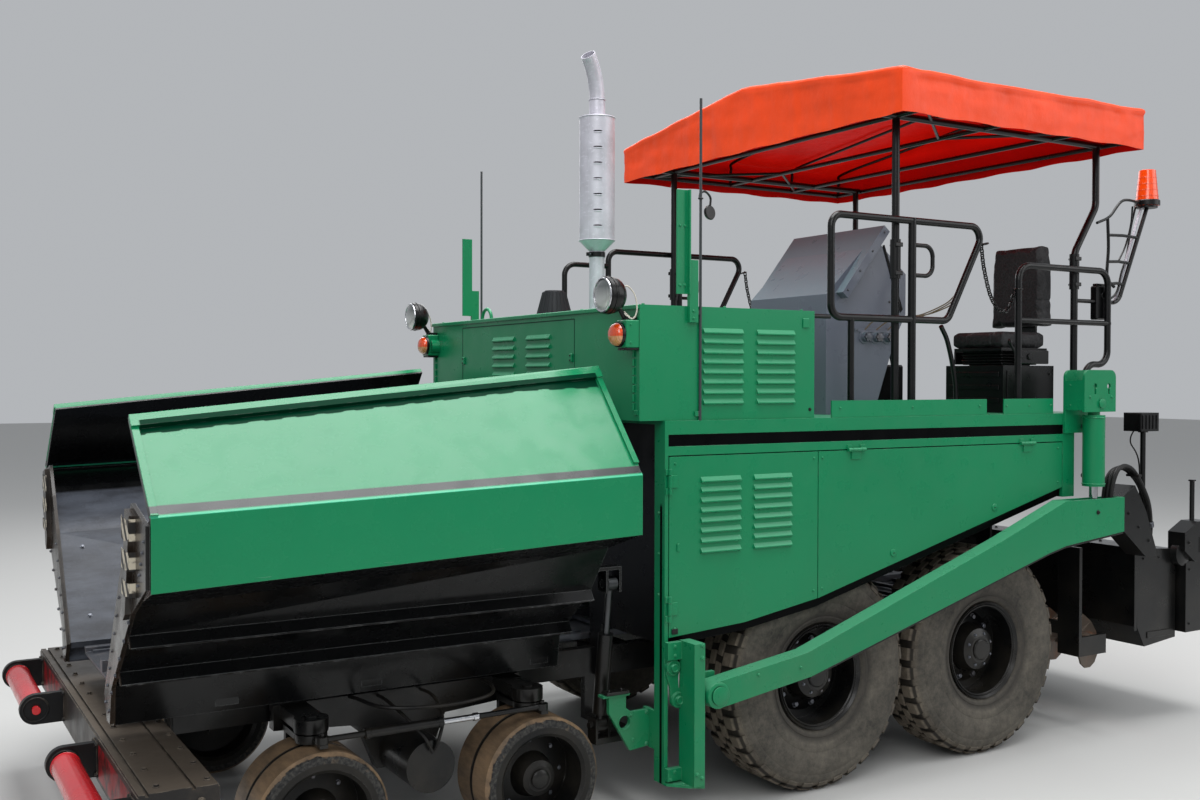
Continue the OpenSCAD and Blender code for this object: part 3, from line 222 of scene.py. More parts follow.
def paint(name, colour, rough=0.34, dust=0.25, dust_colour=(118, 108, 92), coat=0.1, chip=0.0, specular=0.28,
          dust_top=1.3, wear_colour=(150, 150, 148), areas=None, edge_highlight=0.0, normal=None, top_sheen_and_dust=0.0,
          top_sheen_and_dust_colour=None):
    """Sprayed paint with dirt that gathers low down; areas(graph, colour) repaints places. Up-facing faces can be
    lightened as a painted sky sheen, and sharp edges lightened as painted highlights.
    """
    g = Graph(name)
    base = srgb(*colour)
    col = g.mix(g.ramp(g.noise(1.1, 3), 0.35, 0.7), base, scaled(base, 0.9))
    streak = g.ramp(g.noise(5.0, 6, 0.6, (1.0, 1.0, 0.12)), 0.55, 0.85, 0.0, 0.16)
    col = g.mix(streak, col, scaled(base, 0.75))
    low = g.both(g.ramp(g.axis("Z"), 0.25, dust_top, 1.0, 0.0), dust)
    grime = g.both(g.ramp(g.noise(3.2, 8, 0.62), 0.42, 0.72), low)
    grime = g.add(grime, g.both(g.ramp(g.noise(38.0, 5, 0.65), 0.5, 0.75), dust * 0.14))
    col = g.mix(grime, col, srgb(*dust_colour))
    # Up-facing faces turn lighter: a painted sheen of the sky; where a colour is given, as on the beam steel, it is
    # dust on the tops together with that painted sheen.
    if top_sheen_and_dust:
        sky_sheen = [0.25 * c + 0.16 for c in base]
        sky_sheen = (sky_sheen[0] * 0.75, max(sky_sheen[1], base[1] * 2.0), sky_sheen[2] * 1.35, 1.0)
        col = g.mix(g.both(g.facing_up(0.3, 0.62), top_sheen_and_dust), col, srgb(*top_sheen_and_dust_colour) if top_sheen_and_dust_colour else sky_sheen)
    # Sharp edges lightened: painted highlights where the edges catch the light.
    if edge_highlight:
        col = g.mix(g.both(g.edges(0.004), edge_highlight), col, scaled(base, 2.2))
    if areas:
        col = areas(g, col)
    if chip:
        mask = g.both(g.edges(0.006), g.ramp(g.noise(14.0, 6, 0.7), 0.48, 0.62))
        col = g.mix(g.both(mask, chip), col, srgb(*wear_colour))
    facing = g.bevel(0.003)
    if normal:
        facing = normal(g, facing)
    shine = (coat, specular) if g.gloss is None else (g.both(g.gloss, coat), g.both(g.gloss, specular))
    g.finish(Base_Color=col, Roughness=g.ramp(g.noise(9.0, 5), 0.3, 0.75, rough - 0.06, rough + 0.12),
             Coat_Weight=shine[0], Coat_Roughness=0.16, Specular_IOR_Level=shine[1],
             Normal=g.bump(g.noise(240.0, 3), 0.05, 0.001, facing))


def metal(name, colour, rough, rust=0.0, rust_colour=(112, 70, 42), metallic=1.0, bump=0.12):
    g = Graph(name)
    base = srgb(*colour)
    col = g.mix(g.ramp(g.noise(6.0, 5), 0.3, 0.7), base, scaled(base, 0.72))
    lines = g.noise(60.0, 5, 0.7, (1.0, 0.15, 1.0))
    col = g.mix(g.ramp(lines, 0.55, 0.75, 0.0, 0.5), col, scaled(base, 1.35))
    if rust:
        mask = g.both(g.ramp(g.noise(11.0, 9, 0.68), 0.5, 0.66), rust)
        col = g.mix(mask, col, srgb(*rust_colour))
        metallic = g.sub(metallic, g.both(mask, metallic))
    g.finish(Base_Color=col, Metallic=metallic,
             Roughness=g.ramp(lines, 0.3, 0.8, max(0.04, rough - 0.08), rough + 0.12),
             Normal=g.bump(g.noise(70.0, 6, 0.7), bump, 0.002, g.bevel(0.002)))


def stripe_area(g, col):
    """The sunk stripe along the side band is black; the lip under the doors is painted black too, as painted shade
    under the door edges.
    """
    y = g.across()
    stripe = g.both(g.within(g.axis("Z"), 1.874, 1.932), g.within(y, 1.2, 1.2485), g.along(-1.93, 1.055))
    # The lip under the doors: painted shade, black and with little shine.
    lip = g.both(g.within(y, 1.208, 1.2275), g.ramp(g.axis("Z"), 1.58, 1.6, 1, 0))
    mask = g.math("MAXIMUM", stripe, lip)
    g.gloss = g.ramp(mask, 0.0, 1.0, 1.0, 0.15)
    return g.mix(mask, col, srgb(4, 5, 6))


def kick_area(g, col):
    """The kick plates under the black rails are green."""
    return g.mix(g.both(g.ramp(g.across(), 1.232, 1.2335), g.ramp(g.axis("Z"), 2.094, 2.1, 1, 0)), col, srgb(*GREEN))


def wing_lines(g):
    """Place along the wing, share of the way from rim to fold, the fold's height, and height over the sheet."""
    along = g.ramp(g.axis("X"), WING_REAR - MID_X, WING_FRONT - MID_X)
    share = g.ramp(g.across(), RIM_Y, FOLD_Y)
    rim, fold = g.line(along, *WING_RIM), g.line(along, *WING_FOLD)
    return along, share, fold, g.sub(g.axis("Z"), g.add(rim, g.both(share, g.sub(fold, rim))))


def wing_area(g, col):
    """Green outside above the lower fold, black below it and on the inside, a worn grey liner in the hopper."""
    y, z = g.across(), g.axis("Z")
    along, share, fold, over = wing_lines(g)
    outside = g.math("MAXIMUM", g.ramp(over, -0.009, -0.005), g.ramp(y, 1.492, 1.496))
    green = g.both(outside, g.ramp(g.sub(z, g.line(along, *WING_LOW)), -0.004, 0.002))
    over_fold = g.sub(z, fold)
    strip = g.both(g.within(over_fold, 0.01, 0.04, 0.002), g.within(y, 1.43, 1.4985))
    # A thin light green line along the fold's edge: a painted highlight.
    lip = g.both(g.within(over_fold, -0.002, 0.007), g.ramp(y, 1.43, 1.44))
    # A darker band under the rim, with the ragged edge of its weld: painted shade under the rim's flange, with its
    # shine taken away too.
    weld = g.add(g.math("SINE", g.both(g.axis("X"), 47.0)), g.both(g.noise(30.0, 5), 3.0))
    under = g.line(g.ramp(weld, 0.9, 1.5), 0.01, 0.183)
    band = g.both(g.ramp(share, 0.108, 0.111), g.ramp(g.sub(under, share), -0.004, 0.004),
                  g.along(1.38, 3.462, 0.003), outside)
    steel = g.mix(g.ramp(g.noise(7.0, 7, 0.7, (0.25, 1.0, 1.0)), 0.42, 0.62), srgb(72, 76, 84), srgb(50, 52, 57))
    liner_top = g.line(along, -0.076, 1.64)
    skin = g.add(g.line(g.ramp(z, 0.85, 1.4), 0.4, 0.66), g.line(g.ramp(z, 1.4, 1.6), 0.27, 0.0))
    liner = g.both(g.ramp(g.sub(z, liner_top), -0.006, 0.006, 1, 0), g.ramp(y, 1.3, 1.31, 1, 0),
                   g.ramp(g.sub(y, skin), -0.015, 0.015, 1, 0))
    # The black parts' sharp edges turn light grey: painted highlights along the ribs' edges.
    black = g.mix(g.both(g.edges(0.006), 0.75), srgb(*BLACK_STEEL), srgb(128, 131, 131))
    col = g.mix(green, g.mix(liner, black, steel), col)
    # The band under the rim: painted shade, darker green without shine.
    col = g.mix(band, col, srgb(2, 48, 31))
    # Painted highlight along the fold's edge.
    col = g.mix(lip, col, srgb(54, 170, 128))
    brown = g.mix(g.ramp(g.noise(6.0, 7, 0.7, (1, 1, 0.3)), 0.35, 0.7), srgb(16, 15, 15), srgb(60, 51, 43))
    brown = g.mix(g.both(g.edges(0.006), 0.3), brown, srgb(120, 112, 100))
    front = g.both(g.ramp(g.axis("X"), 3.483 - MID_X, 3.485 - MID_X), g.ramp(y, 1.47, 1.48, 1, 0),
                   g.ramp(z, 1.705, 1.715, 1, 0))
    col = g.mix(front, col, brown)
    g.gloss = g.both(g.sub(1.0, g.both(band, 0.95)), g.ramp(liner, 0.0, 1.0, 1.0, 0.45))
    return g.mix(strip, col, srgb(24, 30, 32))


def wing_normal(g, facing):
    """The wing's upper sheet twists gently, so its shading follows one smooth surface."""
    along, share, _, over = wing_lines(g)
    rim_out = FOLD_Y - RIM_Y
    change = WING_RIM[0] - WING_FOLD[0]
    drop = g.line(along, change, WING_RIM[1] - WING_FOLD[1])
    lean = g.math("DIVIDE", g.line(share, change, -WING_RIM[0]), WING_FRONT - WING_REAR)
    out = g.built("ShaderNodeCombineXYZ", 0, X=g.both(lean, rim_out),
                  Y=g.both(drop, g.math("SIGN", g.axis("Y"))), Z=rim_out)
    mask = g.both(g.ramp(g.math("ABSOLUTE", over), 0.055, 0.06, 1, 0), g.within(g.across(), 1.13, 1.493, 0.002),
                  g.facing_up(0.3, 0.4), g.along(1.382, 3.46, 0.002))
    return g.mix(mask, facing, g.turn(out, "OBJECT", "WORLD"))


def beam_area(g, col):
    """Black roller brackets, and a red face on the beam behind each roller."""
    col = g.mix(g.ramp(g.axis("X"), 3.533 - MID_X, 3.535 - MID_X), col, srgb(14, 14, 15))
    red = g.both(g.within(g.across(), 0.565, 1.285), g.within(g.axis("Z"), 0.478, 0.625), g.along(3.527, 3.5325))
    return g.mix(red, col, g.mix(g.ramp(g.noise(12.0, 7, 0.7), 0.45, 0.6), srgb(150, 22, 30), srgb(66, 30, 28)))


def door_area(g, col):
    """The turned-in lower lip of a door is black."""
    return g.mix(g.ramp(g.across(), 1.2265, 1.2275, 1, 0), col, srgb(8, 9, 9))


def lamp_area(g, col):
    """The signal lamps' housings behind their lenses are green."""
    return g.mix(g.along(1.0, 1.2705), col, srgb(*GREEN))


def rod_area(g, col):
    """The thin marker rods are bare dark steel."""
    return g.mix(g.ramp(g.axis("X"), 0.86 - MID_X, 0.864 - MID_X, 1, 0), col, srgb(58, 62, 64))


def wheel_area(front_x):
    """Black steel inside the rubber of a solid wheel whose axle is at front_x."""
    def area(g, col):
        r = g.radius(g.sub(g.axis("X"), front_x - MID_X), g.sub(g.axis("Z"), 0.3))
        tan = g.mix(g.ramp(g.noise(9.0, 8, 0.7, (1, 0.3, 1)), 0.38, 0.66), srgb(142, 118, 92), srgb(84, 72, 60))
        off = g.math("ABSOLUTE", g.sub(g.across(), 0.925))
        ragged = g.line(g.ramp(g.noise(26.0, 5), 0.35, 0.65), 0.01, 0.162)
        side = g.mix(g.ramp(g.noise(60.0, 5), 0.4, 0.7), srgb(26, 27, 28), srgb(74, 72, 68))
        tan = g.mix(g.ramp(g.sub(off, ragged), 0.0, 0.004), tan, side)
        tan = g.mix(g.both(g.within(off, -1, 0.014), g.ramp(r, 0.2, 0.25)), tan, srgb(28, 25, 22))
        return g.mix(g.ramp(r, 0.252, 0.256), col, tan)
    return area


def tyre_rubber():
    """Rear tyre: dusty brown side walls, lighter dust on the tread."""
    g = Graph("tyre_rubber")
    fine = g.ramp(g.noise(38.0, 7, 0.72), 0.36, 0.66)
    mask = g.add(g.both(g.ramp(g.noise(3.5, 8, 0.66), 0.32, 0.68), 0.55), g.both(fine, 0.45))
    r = g.radius(g.axis("X"), g.axis("Z"))
    wall = g.mix(mask, srgb(44, 43, 41), srgb(104, 99, 90))
    wall = g.mix(g.both(g.within(r, 0.3, 0.345, 0.012), 0.6), wall, srgb(46, 44, 42))
    col = g.mix(g.ramp(r, 0.55, 0.6), wall, g.mix(mask, srgb(70, 64, 57), srgb(128, 118, 104)))
    # The tread's floor between the lugs is darkened: painted shade in the recesses.
    groove_shade = g.both(g.within(r, 0.584, 0.599, 0.003), g.ramp(g.across(), 0.15, 0.156, 1, 0), 0.85)
    g.finish(Base_Color=g.mix(groove_shade, col, srgb(20, 19, 18)), Roughness=g.ramp(fine, 0.0, 1.0, 0.66, 0.92),
             Specular_IOR_Level=0.25, Normal=g.bump(g.noise(90.0, 7, 0.7), 0.35, 0.003))


def tarpaulin(name, colour, inner=False):
    """Coated fabric with a fine weave and soft creases."""
    g = Graph(name)
    base = srgb(*colour)
    col = g.mix(g.ramp(g.noise(2.2, 6, 0.6), 0.3, 0.7), base, scaled(base, 0.84))
    col = g.mix(g.ramp(g.noise(14.0, 6, 0.65), 0.55, 0.8, 0, 0.35), col, scaled(base, 1.18))
    creases = g.bump(g.noise(5.5, 6, 0.62, (1.0, 1.0, 0.6)), 0.35, 0.02)
    weave = g.add(g.bands("X", 420.0), g.bands("Y", 420.0))
    g.finish(Base_Color=col, Roughness=g.ramp(g.noise(24.0, 4), 0.3, 0.7, 0.34, 0.5),
             Normal=g.bump(weave, 0.1, 0.0006, creases), Specular_IOR_Level=0.08 if inner else 0.3)
    if inner:
        # Daylight that comes through the roof cloth, weaker through the doubled skirt.
        glow = g.both(g.ramp(g.axis("Z"), 3.8, 3.88, 0.05, 0.24), g.ramp(g.noise(1.7, 4), 0.3, 0.7, 0.7, 1.0))
        g.finish(Emission_Color=(1.0, 0.012, 0.004, 1.0), Emission_Strength=glow)
    else:
        g.finish(Coat_Weight=0.12, Coat_Roughness=0.3)


def seat_fabric():
    g = Graph("seat_fabric")
    dots = g.built("ShaderNodeTexVoronoi", "Distance", Scale=70.0, Vector=g.coords)
    base = srgb(30, 30, 32)
    g.finish(Base_Color=g.mix(g.ramp(dots, 0.2, 0.7), scaled(base, 0.55), scaled(base, 1.5)),
             Roughness=g.ramp(g.noise(30.0, 4), 0.3, 0.7, 0.55, 0.75), Normal=g.bump(dots, 0.5, 0.003))


def glass_lens(name, colour, rough, ribs, metallic=0.4, split=None, low_colour=None):
    """A ribbed lens over a bright reflector, as one glossy surface."""
    g = Graph(name)
    wave = g.bands("Y", ribs)
    base = srgb(*colour)
    col = g.mix(wave, base, scaled(base, 0.62))
    # The lens's lower part gets another colour: on the headlamp a painted reflection, on the signal lamp a lighter
    # lower band.
    if split:
        low = srgb(*low_colour)
        col = g.mix(g.ramp(g.axis("Z"), *split), g.mix(wave, low, scaled(low, 0.7)), col)
    g.finish(Base_Color=col, Roughness=g.ramp(g.noise(30.0), 0.3, 0.7, rough, rough + 0.08), Metallic=metallic,
             Coat_Weight=1.0, Normal=g.bump(wave, 0.25, 0.002))


def hazard_paint():
    """Worn cream and black diagonal bands."""
    g = Graph("hazard")
    wave = g.ramp(g.math("PINGPONG", g.add(g.axis("Z"), g.axis("Y")), 0.045), 0.021, 0.024)
    col = g.mix(wave, srgb(205, 196, 176), srgb(24, 23, 22))
    col = g.mix(g.ramp(g.noise(24.0, 7, 0.7), 0.5, 0.62), col, srgb(58, 52, 46))
    g.finish(Base_Color=col, Roughness=g.ramp(g.noise(20.0), 0.3, 0.7, 0.45, 0.7))


def make_materials():
    # Up-facing faces are lightened as a painted sky sheen, and sharp edges lightened as painted highlights.
    for name, dust, areas in (("green_paint", 0.16, None), ("band_green", 0.16, stripe_area),
                              ("post_green", 0.1, rod_area), ("door_green", 0.14, door_area)):
        paint(name, GREEN, 0.3, dust, chip=0.25, edge_highlight=0.35, top_sheen_and_dust=0.45, areas=areas)
    paint("wing_paint", GREEN, 0.24, 0.1, chip=0.3, edge_highlight=0.55, coat=0.15, areas=wing_area, normal=wing_normal)
    paint("black_paint", BLACK, 0.3, 0.1, chip=0.3, coat=0.15, wear_colour=(80, 78, 74))
    paint("rail_black", BLACK, 0.3, 0.1, chip=0.25, areas=kick_area)
    for name, x in (("front_wheel_1", FRONT_AXLES[0]), ("front_wheel_2", FRONT_AXLES[1])):
        paint(name, BLACK, 0.45, 0.12, chip=0.6, coat=0.05, areas=wheel_area(x))
    # The beam's up-facing faces take a dusty colour: dust on the tops, together with painted sheen.
    paint("beam_steel", (30, 28, 27), 0.45, 0.6, (92, 80, 68), chip=0.9, coat=0.05, dust_top=1.6,
          wear_colour=(150, 138, 120), top_sheen_and_dust=0.75, top_sheen_and_dust_colour=(92, 83, 73), areas=beam_area)
    paint("amber_lens", (236, 74, 12), 0.14, 0.05, coat=0.8, specular=0.5, areas=lamp_area)
    paint("grey_paint", (100, 105, 118), 0.3, 0.12, chip=0.2, edge_highlight=0.3, coat=0.3, top_sheen_and_dust=0.25)
    paint("red_paint", (196, 22, 34), 0.22, 0.15, chip=0.8, coat=0.35, wear_colour=(120, 100, 92))
    # Black with light grey broken edges, for the rods laid along the wing's ribs as painted highlights.
    paint("rib_highlight", (16, 16, 17), 0.35, 0.2, chip=1.0, wear_colour=(150, 152, 152))
    paint("hose_rubber", (18, 18, 19), 0.5, 0.3, coat=0.05)
    for name, colour, rough, dust in (
            ("engine_iron", (70, 72, 76), 0.6, 0.4), ("dark_plastic", (34, 35, 39), 0.55, 0.2),
            ("black_vinyl", (16, 16, 18), 0.62, 0.2), ("dark_gap", (8, 9, 10), 0.7, 0.1),
            ("seam_green", (4, 60, 40), 0.6, 0.1), ("wire_tan", (120, 104, 84), 0.5, 0.1),
            ("wire_white", (205, 200, 188), 0.45, 0.1)):
        paint(name, colour, rough, dust, coat=0.0)
    metal("worn_steel", (110, 113, 120), 0.42, 0.45, (92, 74, 60))
    metal("silver_steel", (208, 206, 216), 0.38, bump=0.05, metallic=0.2)
    metal("rod_chrome", (225, 226, 230), 0.1, bump=0.02)
    metal("auger_iron", (110, 98, 88), 0.55, 0.9, metallic=0.7)
    metal("dull_rod", (84, 86, 88), 0.35, 0.3, (40, 34, 30), bump=0.03)
    tyre_rubber()
    tarpaulin("tarp", (246, 70, 6))
    tarpaulin("tarp_under", (214, 10, 8), True)
    seat_fabric()
    glass_lens("lamp_glass", (205, 208, 205), 0.08, 26.0)
    glass_lens("signal_lens", (238, 78, 14), 0.1, 34.0, 0.0, (2.405, 2.409), (216, 150, 96))
    # Headlamp glass: the dark grey is a painted reflection of the seat, and the bright white lower part is a painted
    # reflection in the reflector.
    glass_lens("head_glass", (96, 102, 102), 0.06, 30.0, 0.4, (2.54, 2.64), (232, 234, 230))
    hazard_paint()


def dress_cad():
    slots = {s["node"]: s["material_slot"] for s in frame["record"]["subparts"]}
    starts = (("body_shell", "band_green"), ("handrails", "rail_black"), ("canopy_cover", "tarp"),
              ("guide_posts", "post_green"), ("wing_left", "wing_paint"), ("wing_right", "wing_paint"),
              ("wing_rod", "dull_rod"), ("door_", "door_green"))
    for name, obj in frame["nodes"].items():
        key = next((mat for start, mat in starts if name.startswith(start)), slots[name])
        if name.startswith("front_wheel"):
            key = "front_wheel_" + name[-1]
        obj.data.materials.clear()
        obj.data.materials.append(MATS[key])


# Mesh building. Every place below is in the work frame, in metres.

def smooth_path(points, steps):
    """Catmull-Rom curve through the points."""
    pts = [Vector(p) for p in points]
    pts = [2 * pts[0] - pts[1]] + pts + [2 * pts[-1] - pts[-2]]
    out = []
    for a, b, c, d in zip(pts, pts[1:], pts[2:], pts[3:]):
        for i in range(steps):
            t = i / steps
            out.append(0.5 * (2 * b + (c - a) * t + (2 * a - 5 * b + 4 * c - d) * t * t
                              + (3 * b - a - 3 * c + d) * t ** 3))
    return out + [pts[-2]]


def side_axes(axis):
    """The axis as a unit vector and two directions square to it."""
    axis = Vector(axis).normalized()
    u = axis.cross(Z if abs(axis.z) < 0.9 else X).normalized()
    return axis, u, axis.cross(u)


def circle(centre, u, w, r, n, start=0.0):
    """n points on a circle, from the direction u towards w."""
    angles = [TAU * (i + start) / n for i in range(n)]
    return [Vector(centre) + (u * math.cos(a) + w * math.sin(a)) * r for a in angles]


def grid(*axes):
    """Every combination of places along X, Y and Z, each given as a number or a tuple."""
    return list(itertools.product(*[a if isinstance(a, tuple) else (a,) for a in axes]))


class Build:
    """Gathers the faces of one piece, at places counted from its origin."""

    def __init__(self, origin=(0, 0, 0)):
        self.origin = Vector(origin)
        self.verts, self.faces, self.slots = [], [], []

    def add(self, verts, faces, slot=0):
        base = len(self.verts)
        self.verts += [Vector(v) + self.origin for v in verts]
        self.faces += [[base + i for i in f] for f in faces]
        self.slots += [slot] * len(faces)

    def twin(self):
        """Adds the mirror image on the machine's other side."""
        base = len(self.verts)
        self.verts += [Vector((v.x, -v.y, v.z)) for v in self.verts]
        self.faces += [[base + i for i in f] for f in self.faces]
        self.slots += self.slots

    def skin(self, rings, slot=0, closed=False):
        """Joins rings of points with quads; the ends are capped unless the last ring meets the first."""
        n, count = len(rings[0]), len(rings)
        faces = []
        for k in range(count if closed else count - 1):
            m = (k + 1) % count
            faces += [[k * n + i, k * n + (i + 1) % n, m * n + (i + 1) % n, m * n + i] for i in range(n)]
        if not closed:
            faces += [list(range(n))[::-1], [(count - 1) * n + i for i in range(n)]]
        self.add([p for ring in rings for p in ring], faces, slot)

    def turned(self, origin, axis, profile, n=24, slot=0, closed=False):
        """Revolves (radius, height) pairs round the axis."""
        axis, u, w = side_axes(axis)
        self.skin([circle(Vector(origin) + axis * h, u, w, r, n) for r, h in profile], slot, closed)

    def rod(self, a, b, r, n=12, slot=0):
        length = (Vector(b) - Vector(a)).length
        c = min(r * 0.15, length / 4)
        self.turned(a, Vector(b) - Vector(a), [(r - c, 0), (r, c), (r, length - c), (r - c, length)], n, slot)

    def slab(self, lo, hi, slot=0, c=0.003):
        """A box with chamfered edges."""
        lo, hi = Vector(map(min, lo, hi)), Vector(map(max, lo, hi))
        c = min([c] + [(b - a) / 3 for a, b in zip(lo, hi)])
        corners = list(itertools.product((0, 1), repeat=3))
        index, verts = {}, []
        for corner in corners:
            for k in range(3):
                p = [hi[i] - c if s else lo[i] + c for i, s in enumerate(corner)]
                p[k] = hi[k] if corner[k] else lo[k]
                index[corner, k] = len(verts)
                verts.append(p)
        faces = [[index[corner, k] for k in range(3)] for corner in corners]
        for k, i, j in ((0, 1, 2), (1, 0, 2), (2, 0, 1)):
            def at(s, a, b, face):
                corner = [0, 0, 0]
                corner[k], corner[i], corner[j] = s, a, b
                return index[tuple(corner), face]
            ring = ((0, 0), (1, 0), (1, 1), (0, 1))
            faces += [[at(s, a, b, k) for a, b in ring] for s in (0, 1)]
            faces += [[at(0, a, b, i), at(0, a, b, j), at(1, a, b, j), at(1, a, b, i)] for a, b in ring]
        self.add(verts, faces, slot)

    def tube(self, points, r, n=8, slot=0, taper=None):
        """A round bar along the points; taper gives each point's share of the radius."""
        pts = [Vector(p) for p in points]
        rings, u = [], None
        for k, p in enumerate(pts):
            d = (pts[min(k + 1, len(pts) - 1)] - pts[max(k - 1, 0)]).normalized()
            u = side_axes(d)[1] if u is None else (u - d * u.dot(d)).normalized()
            rings.append(circle(p, u, d.cross(u), r * (taper[k] if taper else 1.0), n))
        self.skin(rings, slot)

    def curve(self, points, r, n=8, slot=0, steps=8):
        self.tube(smooth_path(points, steps), r, n, slot)

    def ring(self, centre, axis, radius, r, n=28, m=8, slot=0):
        section = [(radius + r * math.cos(TAU * i / m), r * math.sin(TAU * i / m)) for i in range(m)]
        self.turned(centre, axis, section, n, slot, closed=True)

    def plate(self, points, a, b, plane="xz", slot=0):
        """Extrudes an outline: xz from Y=a to Y=b, yz from X=a to X=b."""
        self.skin([[(p, t, q) if plane == "xz" else (t, p, q) for p, q in points] for t in (a, b)], slot)

    def bolt(self, at, axis, size=0.02, slot=0):
        """Hexagon head with a washer and a domed top, standing on a face."""
        at, axis = Vector(at), Vector(axis).normalized()
        washer, head = ((0.68, 0), (0.68, 0.1), (0.64, 0.14)), ((0.5, 0), (0.5, 0.34), (0.4, 0.42))
        self.turned(at - axis * 0.0005, axis, [(r * size, h * size) for r, h in washer], 12, slot)
        self.turned(at + axis * size * 0.12, axis, [(r * size, h * size) for r, h in head], 6, slot)

    def bolts(self, places, axis, size=0.02, slot=0):
        for at in places:
            self.bolt(at, axis, size, slot)


def new_object(name, data):
    obj = bpy.data.objects.new(name, data)
    bpy.context.scene.collection.objects.link(obj)
    return obj


def outward(mesh, up=False):
    """Turns the normals outward, or mostly upward."""
    bm = bmesh.new()
    bm.from_mesh(mesh)
    bmesh.ops.recalc_face_normals(bm, faces=bm.faces)
    if up and sum(f.normal.z * f.calc_area() for f in bm.faces) < 0:
        bmesh.ops.reverse_faces(bm, faces=bm.faces)
    bm.to_mesh(mesh)
    bm.free()


def settle(obj):
    """Puts what the modifiers make in the place of the mesh."""
    bpy.context.view_layer.update()
    mesh = bpy.data.meshes.new_from_object(obj.evaluated_get(bpy.context.evaluated_depsgraph_get()))
    obj.modifiers.clear()
    obj.data = mesh


def attach(obj, body, replaced=None):
    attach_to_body(obj, body)
    if replaced:
        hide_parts(replaced)


def piece(name, build, mats, body="chassis", smooth=35.0, at=None, k=1, replaced=None):
    """Makes the object and sets it on its body; k of -1 mirrors it, and at moves it with its own coordinates."""
    shift = Vector((0, 0, 0)) if at else TO_CAD
    mesh = bpy.data.meshes.new(name)
    mesh.from_pydata([Vector((v.x, v.y * k, v.z)) + shift for v in build.verts], [], build.faces)
    for m in ([mats] if isinstance(mats, str) else mats):
        mesh.materials.append(MATS[m])
    mesh.polygons.foreach_set("material_index", build.slots)
    outward(mesh)
    mesh.shade_smooth()
    mesh.set_sharp_from_angle(angle=math.radians(smooth))
    obj = new_object(name, mesh)
    if at:
        obj.location = Vector(at) + TO_CAD
    attach(obj, body, replaced)
    return obj


def pair(name, build, mats, body="chassis", smooth=35.0):
    """The left piece and its mirror image; {} in the name and the body stands for the side."""
    for side, k in SIDES:
        piece(name.format(side), build, mats, body.format(side), smooth, k=k)


# Wheels

TYRE_HALF = [(0.273, 0.115), (0.286, 0.126), (0.298, 0.148), (0.312, 0.158), (0.32, 0.1585), (0.325, 0.1545),
             (0.334, 0.156), (0.346, 0.163), (0.392, 0.1695), (0.398, 0.1675), (0.405, 0.17), (0.45, 0.1735),
             (0.48, 0.1738), (0.512, 0.1705), (0.519, 0.1665), (0.527, 0.167), (0.545, 0.1625), (0.572, 0.149),
             (0.586, 0.133), (0.593, 0.1), (0.5945, 0.05)]
SHOULDER_LUG = [(0.058, 0.59), (0.062, 0.6085), (0.124, 0.6085), (0.146, 0.592), (0.158, 0.566), (0.15, 0.556)]
INNER_LUG = [(0.006, 0.592), (0.008, 0.609), (0.046, 0.609), (0.048, 0.592)]
LUGS = 34


def tyre_mesh():
    b = Build()
    b.turned((0, 0, 0), Y, TYRE_HALF + [(r, -h) for r, h in reversed(TYRE_HALF)], 80, closed=True)
    pitch = TAU / LUGS
    for side, i in itertools.product((1, -1), range(LUGS)):
        for outline, width, start, lean in ((SHOULDER_LUG, 0.6, 0.0, 0.55), (INNER_LUG, 0.66, 0.5, -1.4)):
            first = pitch * (i + start + (0.5 if side < 0 else 0.0))
            rings = []
            for edge in (0, 1):
                turns = [(first + pitch * (edge * width + lean * h), h, r) for h, r in outline]
                rings.append([(r * math.cos(a), side * h, r * math.sin(a)) for a, h, r in turns])
            b.skin(rings)
    return b


def wheels():
    tread = tyre_mesh()
    for number, x in enumerate(REAR_AXLES, 1):
        c, body = Vector((x, 1.03, 0.61)), f"rear_wheel_{{}}_{number}"
        for side, k in SIDES:
            piece(f"tyre_tread_{side}_{number}", tread, "tyre_rubber", body.format(side), 32,
                  at=(c.x, k * c.y, c.z), replaced=f"tyre_{side}_{number}")
        hub = Build(c)
        hub.bolts(circle((0, -0.001, 0), X, Z, 0.18, 10), Y, 0.03)
        hub.bolts(circle((0, 0.1065, 0), X, Z, 0.094, 8, 0.5), Y, 0.015)
        hub.turned((0, 0.1155, 0), Y, [(0.062, 0), (0.062, 0.006), (0.055, 0.012), (0.02, 0.014)], 24, 1)
        hub.ring((0, 0.136, 0), Y, 0.262, 0.004, 48, 6, 1)
        hub.rod((0.235, 0, 0.05), (0.242, 0.07, 0.052), 0.005, 8, 1)
        pair(f"hub_nuts_{{}}_{number}", hub, ["worn_steel", "black_paint"], body)
    for number, x in enumerate(FRONT_AXLES, 1):
        hub = Build((x, 0.925, 0.3))
        hub.bolts(circle((0, 0.0195, 0), X, Z, 0.16, 8), Y)
        hub.turned((0, 0.1295, 0), Y, [(0.046, 0), (0.046, 0.01), (0.036, 0.018), (0.012, 0.02)], 20, 1)
        hub.ring((0, 0.163, 0), Y, 0.236, 0.006, 48, 6, 1)
        pair(f"front_hub_{{}}_{number}", hub, ["worn_steel", "black_paint"], f"front_wheel_{{}}_{number}")


# Canopy

def canopy_height(y):
    """Height of the roof cloth over the machine's width, with a soft ridge."""
    return 4.036 - 0.16 * (math.sqrt(y * y + 0.05 ** 2) - 0.05) / 1.36


